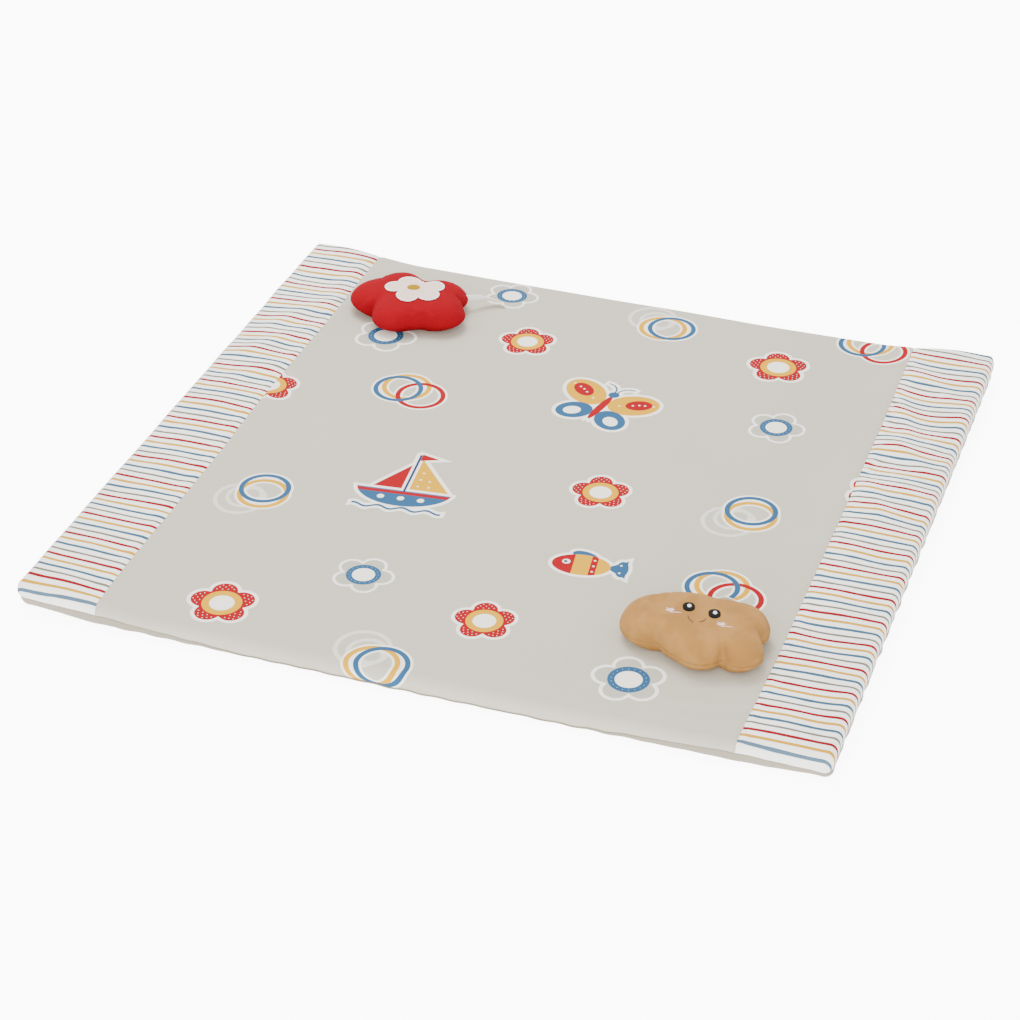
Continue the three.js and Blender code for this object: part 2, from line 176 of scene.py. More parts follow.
def cap_faces(ring: Array, columns: int, rows: int, down: bool) -> list[Array]:
    """Closes the border of a grid with one strip from front to back for each pair of columns.

    Args:
        ring: Point numbers round the border, as rim_of gives them.
        columns: How many columns the grid has.
        rows: How many rows it has.
        down: Whether the faces look down.

    Returns:
        The quads of the strips, and the triangles that close the two sides.
    """
    front = ring[:columns]
    right = ring[columns - 1 : columns + rows - 1]
    back = ring[columns + rows - 2 : 2 * columns + rows - 2][::-1]
    left = np.append(ring[2 * columns + rows - 3 :], ring[0])[::-1]
    quads = np.column_stack([front[1:-2], front[2:-1], back[2:-1], back[1:-2]])
    near = np.full(rows - 1, front[1])
    far = np.full(rows - 1, front[-2])
    sides = np.concatenate([
        np.column_stack([near, left[1:], left[:-1]]),
        np.column_stack([far, right[:-1], right[1:]]),
        [[front[1], back[1], left[-1]], [front[-2], right[-1], back[-2]]],
    ])
    return [quads[:, ::-1], sides[:, ::-1]] if down else [quads, sides]


def lens_faces(upper: Array, lower: Array, ends: int) -> list[Array]:
    """Joins rings of point numbers into an upper and a lower side, closed at two end points.

    Args:
        upper: The upper side's rings from the rim inwards, one a row.
        lower: The lower side's rings, likewise.
        ends: The upper end point's number. The lower end point has the next one.

    Returns:
        The quads between the rings and the triangles round both end points.
    """
    steps = range(len(upper) - 1)
    last, deep = upper[-1], lower[-1]
    return [
        *(bands(upper[i], upper[i + 1]) for i in steps),
        *(bands(lower[i + 1], lower[i]) for i in steps),
        np.column_stack([last, np.roll(last, -1), np.full(len(last), ends)]),
        np.column_stack([np.roll(deep, -1), deep, np.full(len(deep), ends + 1)]),
    ]


@dataclass(frozen=True)
class Ridge:
    """A soft fold across a striped panel, from one end to the other on the plan."""

    x1: float
    y1: float
    x2: float
    y2: float
    half_width: float
    height: float

    def at(self, x: Array, y: Array) -> Array:
        """Height of the fold: a bell across it, times a fade over both of its ends.

        Args:
            x: The points' x.
            y: Their y.

        Returns:
            Heights in millimetres.
        """
        along = np.array([self.x2 - self.x1, self.y2 - self.y1])
        length = np.hypot(*along)
        share = ((x - self.x1) * along[0] + (y - self.y1) * along[1]) / length**2
        across = np.abs((x - self.x1) * along[1] - (y - self.y1) * along[0]) / length
        fade = smooth(share, -0.15, 0.2) * (1 - smooth(share, 0.8, 1.15))
        return self.height * fade * bell(across, self.half_width)


@dataclass(frozen=True)
class MatForm:
    """The mat's whole form: its plan, its padded top and the seam round it, all in millimetres."""

    half_width: float
    half_depth: float
    seam_left: float
    seam_right: float
    corner_radius: float = 13.0
    roll_in: float = 9.0
    roll_down: float = 10.0
    top_height: float = 26.0
    side_lift: float = 10.0
    lift_from: float = 330.0
    lift_to: float = 470.0
    edge_sag: float = 2.0
    edge_sag_reach: float = 70.0
    edge_sag_from: float = 200.0
    groove_depth: float = 1.5
    groove_half_width: float = 4.5
    seam_at: tuple[float, ...] = (-500, -450, -372, -200, 200, 372, 430, 500)
    seam_height: tuple[float, ...] = (18, 15.5, 13.5, 2.5, 2.5, 13.5, 12.5, 10.7)
    seam_inset: float = 3.0
    packed_inset: float = 1.2
    seam_gap: float = 0.3
    pucker_height: float = 0.55
    pucker_reach: float = 11.0
    ridges: tuple[Ridge, ...] = (
        Ridge(-412, 440, -420, 330, 13, 2.2),
        Ridge(-408, 330, -470, 200, 14, 2.4),
        Ridge(-410, 235, -484, 110, 14, 2.2),
        Ridge(-408, 130, -470, 50, 13, 1.6),
        Ridge(400, 400, 470, 330, 14, 2.0),
        Ridge(399, 320, 436, 210, 13, 2.4),
        Ridge(400, 225, 480, 135, 14, 3.0),
        Ridge(399, 110, 446, 20, 13, 1.6),
    )
    creases: tuple[Ridge, ...] = (
        Ridge(300, -392, 386, -362, 6, 0.7),
        Ridge(285, -420, 384, -398, 7, 0.7),
        Ridge(270, -444, 380, -432, 7, 0.6),
    )
    sway_at: tuple[float, ...] = (-470, -420, -390, -300, -150, -90, 0, 60, 100, 180, 250, 300, 350, 400, 450)
    sway_left: tuple[float, ...] = (7, 5, 4.4, 4.4, 4.4, 3.6, 1, 0, 0, 1.4, 2, 1.4, 0.6, 0, 0)
    sway_right: tuple[float, ...] = (0, 0.6, 2, 3, 3, 3, 3, 3, 2.6, 2, 2, 1, 0, -1, -2)
    sway_reach: float = 45.0
    swell: Waves = Waves(11, 150, 320)
    swell_height: float = 0.35
    side_swell: Waves = Waves(12, 55, 120)
    side_swell_height: float = 0.55
    side_fade: float = 13.0
    pucker_at: float = 4.0
    pucker_stretch: float = 0.15
    puckers: Waves = Waves(13, 7, 19, 9)
    edge_puckers: Waves = Waves(14, 13, 44, 9)

    @classmethod
    def from_frame(cls) -> "MatForm":
        """Takes the mat's width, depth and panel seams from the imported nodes.

        Returns:
            The form of this frame's mat.
        """
        low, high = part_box("backing")
        left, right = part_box("centre_panel")
        edge = cls.seam_inset - cls.packed_inset
        half_gap = cls.seam_gap / 2
        return cls(
            half_width=round((high.x - low.x) / MM / 2 + edge),
            half_depth=round((high.y - low.y) / MM + 2 * edge) / 2,
            seam_left=round(left.x / MM - half_gap, 1),
            seam_right=round(right.x / MM + half_gap, 1),
        )

    def plain_top(self, x: Array, y: Array) -> Array:
        """Height of the top before its grooves: level, plumper at the sides, flatter at mid edges.

        Args:
            x: The points' x.
            y: Their y.

        Returns:
            Heights in millimetres.
        """
        lift = self.side_lift * smooth(np.abs(x), self.lift_from, self.lift_to)
        middle = 1 - smooth(np.abs(x), self.edge_sag_from, self.lift_to)
        sag = self.edge_sag * middle * bell(self.half_depth - np.abs(y), self.edge_sag_reach)
        return self.top_height + lift - sag

    def top(self, x: Array, y: Array) -> Array:
        """Height of the top with the grooves at its panel seams, folds, soft swells and puckers.

        Args:
            x: The points' x.
            y: Their y.

        Returns:
            Heights in millimetres.
        """
        from_seam = np.where(x < 0, self.seam_left - x, x - self.seam_right)
        groove = self.groove_depth * bell(from_seam, self.groove_half_width)
        in_side = smooth(from_seam, 0, self.side_fade)
        folds = sum(ridge.at(x, y) for ridge in self.ridges)
        creases = sum(ridge.at(x, y) for ridge in self.creases)
        side = self.side_swell_height * self.side_swell.at(x, y)
        pucker = self.pucker_height * bell(from_seam - self.pucker_at, self.pucker_reach)
        pucker = pucker * self.puckers.at(self.pucker_stretch * x, y)
        soft = self.swell_height * self.swell.at(x, y) + creases
        return self.plain_top(x, y) - groove + in_side * (folds + side) + soft + pucker

    def swayed(self, x: Array, y: Array) -> Array:
        """Moves x near the two panel seams by their tables, so that the seams run a little bowed."""
        seams = ((self.sway_left, self.seam_left), (self.sway_right, self.seam_right))
        return x + sum(np.interp(y, self.sway_at, sway) * bell(x - seam, self.sway_reach) for sway, seam in seams)

    def seam(self, x: Array) -> Array:
        """Height of the seam round the mat: low along the middle, and climbing to the sides."""
        return np.interp(x, self.seam_at, self.seam_height)

    def on_plan(self, x: Array, y: Array, inset: Array | float) -> tuple[Array, Array]:
        """Moves points of the square plan to the plan with round corners that lies inset inside it.

        A square corner with shares a and b goes to a times root(1 - b squared / 2), and b likewise.

        Args:
            x: The points' x.
            y: Their y.
            inset: How far inside the mat's outline they go.

        Returns:
            The moved x and y.
        """
        inside_x = self.half_width - self.corner_radius
        inside_y = self.half_depth - self.corner_radius
        a = np.maximum(0, (np.abs(x) - inside_x) / self.corner_radius)
        b = np.maximum(0, (np.abs(y) - inside_y) / self.corner_radius)
        radius = self.corner_radius - inset
        px = np.minimum(np.abs(x), inside_x) + radius * a * np.sqrt(1 - b * b / 2)
        py = np.minimum(np.abs(y), inside_y) + radius * b * np.sqrt(1 - a * a / 2)
        return np.sign(x) * px, np.sign(y) * py

    def outward(self, x: Array, y: Array) -> tuple[Array, Array]:
        """The direction out of the mat at points of its border, as two shares.

        Args:
            x: The points' x.
            y: Their y.

        Returns:
            The x and y of a unit vector for each point.
        """
        inner = self.on_plan(x, y, self.corner_radius)
        outer = self.on_plan(x, y, 0)
        nx, ny = outer[0] - inner[0], outer[1] - inner[1]
        length = np.maximum(np.hypot(nx, ny), 1e-9)
        return nx / length, ny / length

    def rolled_top(self, x: Array, y: Array) -> tuple[Array, Array]:
        """The top, rolled down towards the free edges along a quarter of an ellipse.

        Args:
            x: Grid points of the square plan.
            y: The same, of the same shape.

        Returns:
            The points, and their cloth coordinates: the plan's, with the roll's arc laid out flat.
        """
        to_edge = np.minimum(self.half_width - np.abs(x), self.half_depth - np.abs(y))
        share = np.clip(1 - to_edge / self.roll_in, 0, 1)
        px, py = self.on_plan(x, y, 0)
        height = self.top(px, py) - self.roll_down * (1 - np.sqrt(1 - share * share))
        nx, ny = self.outward(x, y)
        extra = self.arc(share) - self.roll_in * share
        cloth = np.stack([px + nx * extra, py + ny * extra], -1)
        return np.stack([self.swayed(px, py), py, height], -1), cloth

    def arc(self, share: Array | float) -> Array:
        """How much cloth lies on the roll up to a share of it: the mean radius times the arc sine."""
        return (self.roll_in + self.roll_down) / 2 * np.arcsin(share)

    def edge_lines(self, count: int = 11) -> Array:
        """Distances in from a free edge of the grid lines of its roll, evenly round the roll."""
        return self.roll_in * (1 - np.cos(np.linspace(0, math.pi / 2, count)))


SEAM_LINES = np.array([0, 0.5, 1.1, 1.9, 2.9, 4.1, 5.5, 7.2])
WALL_LEVELS = np.array([0.14, 0.3, 0.48, 0.66, 0.82, 0.93, 1.0])


def grid_lines(start: float, end: float, at_start: Array, at_end: Array, step: float) -> Array:
    """Grid lines between two values: given distances in from both ends, and even lines between.

    Args:
        start: Where the first line lies.
        end: Where the last one lies.
        at_start: Distances in from the start, from 0 up.
        at_end: The same, in from the end.
        step: The widest even step.

    Returns:
        The lines, from start to end.
    """
    first, last = start + at_start, end - at_end[::-1]
    count = max(1, math.ceil((last[0] - first[-1]) / step))
    return np.concatenate([first, np.linspace(first[-1], last[0], count + 1)[1:-1], last])


@dataclass(frozen=True)
class TopPanel:
    """One padded panel of the mat's top, between two lines of x."""

    name: str
    node: str
    slot: str
    start: float
    end: float
    step: float
    fill: float
    wall_bulge: float = 0.35
    wall_pucker: float = 0.75

    def surface(self, form: MatForm) -> Surface:
        """Works out the panel: the top grid, walls down to the seam, and its underside.

        The wall runs from the top's border down to the seam. At a share t of the way down it is
        inset by the seam's inset times t cubed, and by puckers that grow with t.

        Args:
            form: The mat's form.

        Returns:
            The closed surface. Its cloth coordinates are the plan's, run on down the walls.
        """
        left_free = self.start <= -form.half_width
        right_free = self.end >= form.half_width
        free = np.sort(form.edge_lines())
        xs = grid_lines(self.start, self.end, free if left_free else SEAM_LINES,
                        free if right_free else SEAM_LINES, self.step)
        ys = grid_lines(-form.half_depth, form.half_depth, free, free, self.step)
        gx, gy = np.meshgrid(xs, ys)
        top, flat = form.rolled_top(gx, gy)
        index = np.arange(gx.size).reshape(gx.shape)
        faces = [grid_faces(index)]
        ring = rim_of(index)
        rx, ry, rz = rim_of(gx), rim_of(gy), rim_of(top[..., 2])
        nx, ny = form.outward(rx, ry)
        under = form.seam(rx) + form.seam_gap
        pucker = form.edge_puckers.at(rx, ry)
        points, cloth = [top.reshape(-1, 3)], [flat.reshape(-1, 2)]
        border = rim_of(flat)
        for level in WALL_LEVELS:
            inset = form.seam_inset * level**3 - self.wall_bulge * math.sin(math.pi * level)
            inset = inset + self.wall_pucker * level**2 * pucker
            wx, wy = form.on_plan(rx, ry, inset)
            height = rz + (under - rz) * level
            points.append(np.column_stack([form.swayed(wx, wy), wy, height]))
            cloth.append(border + np.column_stack([nx, ny]) * (rz - height)[:, None])
            lower = np.arange(len(rx)) + sum(len(block) for block in points[:-1])
            faces.append(bands(lower, ring))
            ring = lower
        faces += cap_faces(ring, len(xs), len(ys), down=True)
        return Surface(np.concatenate(points), faces, np.concatenate(cloth))


@dataclass(frozen=True)
class Backing:
    """The plain lower cover, from the seam round the mat down to the floor."""

    name: str = "backing_cover"
    node: str = "backing"
    slot: str = "backing_cloth"
    step: float = 3.4
    fill: float = 0.4
    pucker: float = 0.75
    tuck_y: tuple[float, float] = (330.0, 460.0)
    tuck_x: tuple[float, float] = (390.0, 490.0)
    tuck_left: float = 9.0
    tuck_right: float = 6.0
    levels: tuple[tuple[float, float], ...] = (
        (0.82, 2.2), (0.62, 1.8), (0.42, 2.0), (0.25, 2.7), (0.11, 3.8), (0.03, 5.0), (0.0, 6.2),
    )

    def surface(self, form: MatForm) -> Surface:
        """Works out the cover as rings round the mat, each at a share of the seam's height.

        Under the two front corners, the lower rings tuck in further.

        Args:
            form: The mat's form.

        Returns:
            The closed surface, flat where it lies on the floor.
        """
        free = np.sort(form.edge_lines())
        xs = grid_lines(-form.half_width, form.half_width, free, free, self.step)
        ys = grid_lines(-form.half_depth, form.half_depth, free, free, self.step)
        gx, gy = np.meshgrid(xs, ys)
        rx, ry = rim_of(gx), rim_of(gy)
        nx, ny = form.outward(rx, ry)
        seam = form.seam(rx)
        pucker = form.edge_puckers.at(rx, ry)
        count = len(rx)
        points, cloth, faces = [], [], []
        tucked = smooth(-ry, *self.tuck_y) * smooth(np.abs(rx), *self.tuck_x)
        tucked = tucked * np.where(rx < 0, self.tuck_left, self.tuck_right)
        for number, (level, plain) in enumerate(((1.0, form.seam_inset), *self.levels)):
            wave = self.pucker * pucker * (level > 0)
            wx, wy = form.on_plan(rx, ry, plain + wave)
            points.append(np.column_stack([wx, wy + tucked * (1 - level), level * seam]))
            cloth.append(np.column_stack([wx + nx * plain, wy + ny * plain - level * seam]))
            if number:
                ring = np.arange(count) + number * count
                faces.append(bands(ring, ring - count))
        last = np.arange(count) + len(self.levels) * count
        faces += cap_faces(np.arange(count), len(xs), len(ys), down=False)
        faces += cap_faces(last, len(xs), len(ys), down=True)
        return Surface(np.concatenate(points), faces, np.concatenate(cloth))


class MotifKind(Enum):
    """What a place of the print shows, with how far it reaches from its middle."""

    RED_FLOWER = (1, 48.0)
    PALE_FLOWER = (2, 50.0)
    RING_TRIO = (3, 62.0)
    RING_PAIR = (4, 78.0)
    BOAT = (5, 92.0)
    BUTTERFLY = (6, 92.0)
    FISH = (7, 62.0)

    def __init__(self, number: int, reach: float) -> None:
        """Keeps the number that the material reads and the reach in millimetres."""
        self.number = number
        self.reach = reach


@dataclass(frozen=True)
class Motif:
    """One printed motif: its kind, its middle in millimetres, its turn in degrees and its size."""

    kind: MotifKind
    x: float
    y: float
    turn: float = 0.0
    size: float = 1.0


PRINT = tuple(Motif(kind, *place) for kind, places in {
    MotifKind.RED_FLOWER: (
        (-119, 307, 15, 0.96), (225, 354, 15, 1.03), (93, -28, 15, 0.96), (-257, -410, 15, 1.03),
        (49, -341, 15, 0.95), (-404, 73, 15, 0.96), (421.5, 82, -18)),
    MotifKind.PALE_FLOWER: (
        (-183, 427, -13, 0.87), (262, 200, -13, 0.87), (-120.5, -299, -13, 0.87), (243, -395, 17),
        (-309, 257, -13)),
    MotifKind.RING_TRIO: ((-224, 128, 6), (299, -188, -6), (335, 454, -2)),
    MotifKind.RING_PAIR: ((-309.5, -161), (283.5, -6), (58, 410, -88), (-34, -460, -92)),
    MotifKind.BOAT: ((-144, -84, 6),),
    MotifKind.BUTTERFLY: ((30, 176, -12),),
    MotifKind.FISH: ((126, -190, 8),),
}.items() for place in places)


def lay_print(piece: bpy.types.Object, motifs: tuple[Motif, ...]) -> None:
    """Gives each corner of a panel's faces its place within the motif that is printed there.

    Args:
        piece: A panel with the attribute "cloth".
        motifs: The print. A face belongs to the last motif whose reach holds its middle.
    """
    mesh = piece.data
    cloth = fetch(mesh.attributes["cloth"].data, "vector", 3)
    starts, totals = (fetch(mesh.polygons, name, 1, np.int32)[:, 0] for name in ("loop_start", "loop_total"))
    corners = cloth[fetch(mesh.loops, "vertex_index", 1, np.int32)[:, 0], :2].astype(float)
    face = np.repeat(np.arange(len(starts)), totals)
    middles = np.add.reduceat(corners, starts) / totals[:, None]
    placed = np.zeros((len(corners), 3))
    for motif in motifs:
        offset = np.abs(middles - [motif.x, motif.y]).max(1)
        chosen = (offset < motif.kind.reach * motif.size)[face]
        dx, dy = (corners[chosen] - [motif.x, motif.y]).T / motif.size
        placed[chosen, 0], placed[chosen, 1] = turned(dx, dy, -math.radians(motif.turn))
        placed[chosen, 2] = motif.kind.number
    attribute = mesh.attributes.new("motif", "FLOAT_VECTOR", "CORNER")
    attribute.data.foreach_set("vector", placed.astype(np.float32).ravel())


@dataclass(frozen=True)
class StripeRun:
    """How the stripes of one side run: the front blue one and then the red ones.

    The tables say where each starts at the seam, and how far forward of that it comes halfway
    across the panel and at its outer side.
    """

    starts: tuple[float, ...]
    halfway: tuple[float, ...]
    outer: tuple[float, ...]
    front_blue: float = -470.05
    first_red: float = -445.1
    red_pitch: float = 49.9
    half_at: float = 42.0
    outer_at: float = 92.0
    sway: float = 0.7

    def cloth_y(self, from_seam: Array, x: Array, y: Array) -> Array:
        """Finds which line of the even cloth lies at a point of the panel.

        The pull is a parabola through 0 at the seam and its two table values. The pulled place is
        then read off the table of starts, against the even places of the red stripes.

        Args:
            from_seam: Distances from the panel's seam.
            x: Points of the panel, in its cloth coordinates.
            y: The same.

        Returns:
            The places along the even cloth.
        """
        far = np.clip(from_seam, 0, self.outer_at + 4)
        half = np.interp(y, self.starts, self.halfway)
        outer = np.interp(y, self.starts, self.outer)
        gap = self.outer_at - self.half_at
        pull = half * far * (self.outer_at - far) / (self.half_at * gap)
        pull += outer * far * (far - self.half_at) / (self.outer_at * gap)
        waves = Waves(21, 60, 130).at(x, y) * smooth(from_seam, 0, 25)
        reds = self.first_red + self.red_pitch * np.arange(len(self.starts) - 1)
        even = np.concatenate([[self.front_blue], reds])
        line = y + pull + self.sway * waves
        inside = np.interp(line, self.starts, even)
        return inside + np.minimum(line - self.starts[0], 0) + np.maximum(line - self.starts[-1], 0)


LEFT_RUN = StripeRun(
    (-467.3, -441.3, -393, -345.3, -295.7, -247.3, -198, -146.7, -96, -44, 5.7, 56.3, 105.3, 156, 203.3, 253, 306.3,
     353.7, 403.7, 456),
    (4.6, 2.7, 2.7, 4, 4.3, 6.7, 8, 7.3, 8, 7.7, 3, 7, 4, 7.3, 7.3, 11, 11, 15, 7.7, 4.7),
    (6.5, 1.4, 2, 3, 7, 9.4, 9.3, 11, 10.7, 11, 7, 11, 12.3, 16.3, 16.3, 17, 18.3, 13.4, 11, 9))
RIGHT_RUN = StripeRun(
    (-465.6, -440.7, -393.3, -345.3, -296.3, -246.7, -197.3, -145.7, -94, -43.3, 3.7, 52.7, 102.7, 148.7, 197, 248,
     299.7, 350.3, 401, 453.7),
    (7, 6, 7.7, 7.4, 5.4, 8.3, 4.7, 6, 8.7, 7.4, 4.4, 4.7, 6.7, 11.7, 4.3, 15.3, 17, 18.3, 14, 11),
    (10.5, 8, 6, 5.4, 6.4, 7.3, 6.7, 7, 10.7, 11.7, 11, 10.7, 11.7, 10, 14.3, 13.3, 13.7, 15.6, 13, 16.7))


def lay_stripes(piece: bpy.types.Object, form: MatForm, run: StripeRun) -> None:
    """Moves a striped panel's cloth coordinates so that its stripes run as their tables say.

    Args:
        piece: A striped panel.
        form: The mat's form.
        run: How the stripes of its side run.
    """
    attribute = piece.data.attributes["cloth"]
    cloth = fetch(attribute.data, "vector", 3).astype(float)
    x, y = cloth[:, 0], cloth[:, 1]
    from_seam = np.where(x < 0, form.seam_left - x, x - form.seam_right)
    cloth[:, 1] = run.cloth_y(from_seam, x, y)
    attribute.data.foreach_set("vector", cloth.astype(np.float32).ravel())


class Signal:
    """A value that changes over a surface. Its arithmetic places Math nodes."""

    def __init__(self, sheet: "NodeSheet", socket: bpy.types.NodeSocket) -> None:
        """Wraps one output socket of a node tree."""
        self.sheet = sheet
        self.socket = socket

    def __add__(self, other: "Signal | float") -> "Signal":
        """The sum."""
        return self.sheet.math("ADD", self, other)

    def __sub__(self, other: "Signal | float") -> "Signal":
        """The difference."""
        return self.sheet.math("SUBTRACT", self, other)

    def __rsub__(self, other: float) -> "Signal":
        """The difference, with this value taken away."""
        return self.sheet.math("SUBTRACT", other, self)

    def __mul__(self, other: "Signal | float") -> "Signal":
        """The product."""
        return self.sheet.math("MULTIPLY", self, other)

    def __truediv__(self, other: "Signal | float") -> "Signal":
        """The quotient."""
        return self.sheet.math("DIVIDE", self, other)

    def __abs__(self) -> "Signal":
        """The size without its sign."""
        return self.sheet.math("ABSOLUTE", self)

    def least(self, other: "Signal | float") -> "Signal":
        """The lower of two values."""
        return self.sheet.math("MINIMUM", self, other)

    def most(self, other: "Signal | float") -> "Signal":
        """The higher of two values."""
        return self.sheet.math("MAXIMUM", self, other)

    def melt(self, other: "Signal", reach: float) -> "Signal":
        """The lower of two values, rounded off where they are within reach of each other."""
        return self.sheet.math("SMOOTH_MIN", self, other, reach)

    def sine(self) -> "Signal":
        """The sine of the value in radians."""
        return self.sheet.math("SINE", self)

    def cosine(self) -> "Signal":
        """The cosine of the value in radians."""
        return self.sheet.math("COSINE", self)

    def fall(self, start: float, end: float) -> "Signal":
        """A smooth step from 1 at start down to 0 at end."""
        return self.sheet.ramp(self, start, end, 1.0, 0.0)

    def rise(self, start: float, end: float) -> "Signal":
        """A smooth step from 0 at start up to 1 at end."""
        return self.sheet.ramp(self, start, end, 0.0, 1.0)


Wired = Signal | float


def length(x: Signal, y: Signal) -> Signal:
    """The root of the sum of two squares."""
    return (x * x + y * y).sheet.math("SQRT", x * x + y * y)


class NodeSheet:
    """Adds nodes to one node tree."""

    def __init__(self, tree: bpy.types.NodeTree) -> None:
        """Keeps the tree that nodes are added to."""
        self.tree = tree

    def node(self, kind: str, inputs: dict[int | str, object] | None = None, **settings: object) -> bpy.types.Node:
        """Adds a node, sets its properties and fills its inputs.

        Args:
            kind: The node's type.
            inputs: What goes into each input, by its number or its name.
            settings: The node's properties.

        Returns:
            The node.
        """
        made = self.tree.nodes.new(kind)
        for name, value in settings.items():
            setattr(made, name, value)
        self.fill(made, inputs or {})
        return made

    def fill(self, node: bpy.types.Node, inputs: dict[int | str, object]) -> None:
        """Links or sets a node's inputs by their numbers or names."""
        for name, value in inputs.items():
            self.put(node.inputs[name], value)

    def put(self, socket: bpy.types.NodeSocket, value: object) -> None:
        """Links a signal to an input, or sets the input to a plain value.

        Args:
            socket: The input.
            value: A signal, a number or a colour.
        """
        if isinstance(value, Signal):
            self.tree.links.new(value.socket, socket)
        elif isinstance(value, tuple) and len(value) == 3 and socket.type == "RGBA":
            socket.default_value = (*value, 1.0)
        else:
            socket.default_value = value

    def math(self, operation: str, *values: Wired) -> Signal:
        """Adds a Math node and gives its result."""
        made = self.node("ShaderNodeMath", dict(enumerate(values)), operation=operation)
        return Signal(self, made.outputs[0])

    def ramp(self, value: Signal, start: float, end: float, low: float, high: float) -> Signal:
        """A smooth step of a value, from low at start to high at end."""
        inputs = dict(enumerate((value, start, end, low, high)))
        return Signal(self, self.node("ShaderNodeMapRange", inputs, interpolation_type="SMOOTHSTEP").outputs[0])

    def blend(self, share: Wired, first: object, second: object) -> Signal:
        """Mixes two colours: the first at share 0 and the second at 1."""
        made = self.node("ShaderNodeMix", {0: share, 6: first, 7: second}, data_type="RGBA")
        return Signal(self, made.outputs[2])

    def shade(self, colour: object, factor: Signal) -> Signal:
        """Multiplies a colour by a grey of the given value."""
        inputs = {0: 1.0, 6: colour, 7: factor}
        return Signal(self, self.node("ShaderNodeMix", inputs, data_type="RGBA", blend_type="MULTIPLY").outputs[2])

    def noise(self, where: Signal, scale: float, detail: float) -> Signal:
        """Noise of about 0 to 1 at a scale per millimetre."""
        made = self.node("ShaderNodeTexNoise", {"Vector": where, "Scale": scale, "Detail": detail})
        return Signal(self, made.outputs[0])

    def split(self, vector: Signal) -> tuple[Signal, Signal, Signal]:
        """The three parts of a vector."""
        made = self.node("ShaderNodeSeparateXYZ", {0: vector})
        return tuple(Signal(self, output) for output in made.outputs)

    def join(self, x: Wired, y: Wired, z: Wired) -> Signal:
        """A vector of three parts."""
        return Signal(self, self.node("ShaderNodeCombineXYZ", {0: x, 1: y, 2: z}).outputs[0])

    def scaled(self, vector: Signal, factor: Wired) -> Signal:
        """A vector times a number."""
        made = self.node("ShaderNodeVectorMath", {0: vector, "Scale": factor}, operation="SCALE")
        return Signal(self, made.outputs[0])

    def attribute(self, name: str) -> Signal:
        """A vector attribute of the mesh."""
        return Signal(self, self.node("ShaderNodeAttribute", attribute_name=name).outputs["Vector"])

    def place(self) -> Signal:
        """The Object coordinates in millimetres."""
        return self.scaled(Signal(self, self.node("ShaderNodeTexCoord").outputs["Object"]), 1 / MM)

    def use(self, group: bpy.types.NodeTree, *values: Wired) -> list[Signal]:
        """Places a node group, with its inputs in order, and gives its outputs."""
        made = self.node("ShaderNodeGroup", dict(enumerate(values)), node_tree=group)
        return [Signal(self, output) for output in made.outputs]


class GroupMaker:
    """Builds one shader node group with named inputs and outputs."""

    def __init__(self, name: str, inputs: tuple[str, ...], outputs: tuple[str, ...]) -> None:
        """Makes the group's sockets. An input named Where is a vector, and the rest are numbers.

        Args:
            name: The group's name.
            inputs: The inputs' names.
            outputs: The outputs' names.
        """
        self.tree = bpy.data.node_groups.new(name, "ShaderNodeTree")
        self.sheet = NodeSheet(self.tree)
        for label in inputs:
            kind = "NodeSocketVector" if label == "Where" else "NodeSocketFloat"
            self.tree.interface.new_socket(name=label, in_out="INPUT", socket_type=kind)
        for label in outputs:
            self.tree.interface.new_socket(name=label, in_out="OUTPUT", socket_type="NodeSocketFloat")
        entry = self.sheet.node("NodeGroupInput")
        self.inputs = [Signal(self.sheet, entry.outputs[label]) for label in inputs]
        self.exit = self.sheet.node("NodeGroupOutput")

    def done(self, *values: Signal) -> bpy.types.NodeTree:
        """Links the results to the group's outputs, in order, and gives the group.

        Args:
            values: The results.

        Returns:
            The group.
        """
        for socket, value in zip(self.exit.inputs, values):
            self.sheet.put(socket, value)
        return self.tree


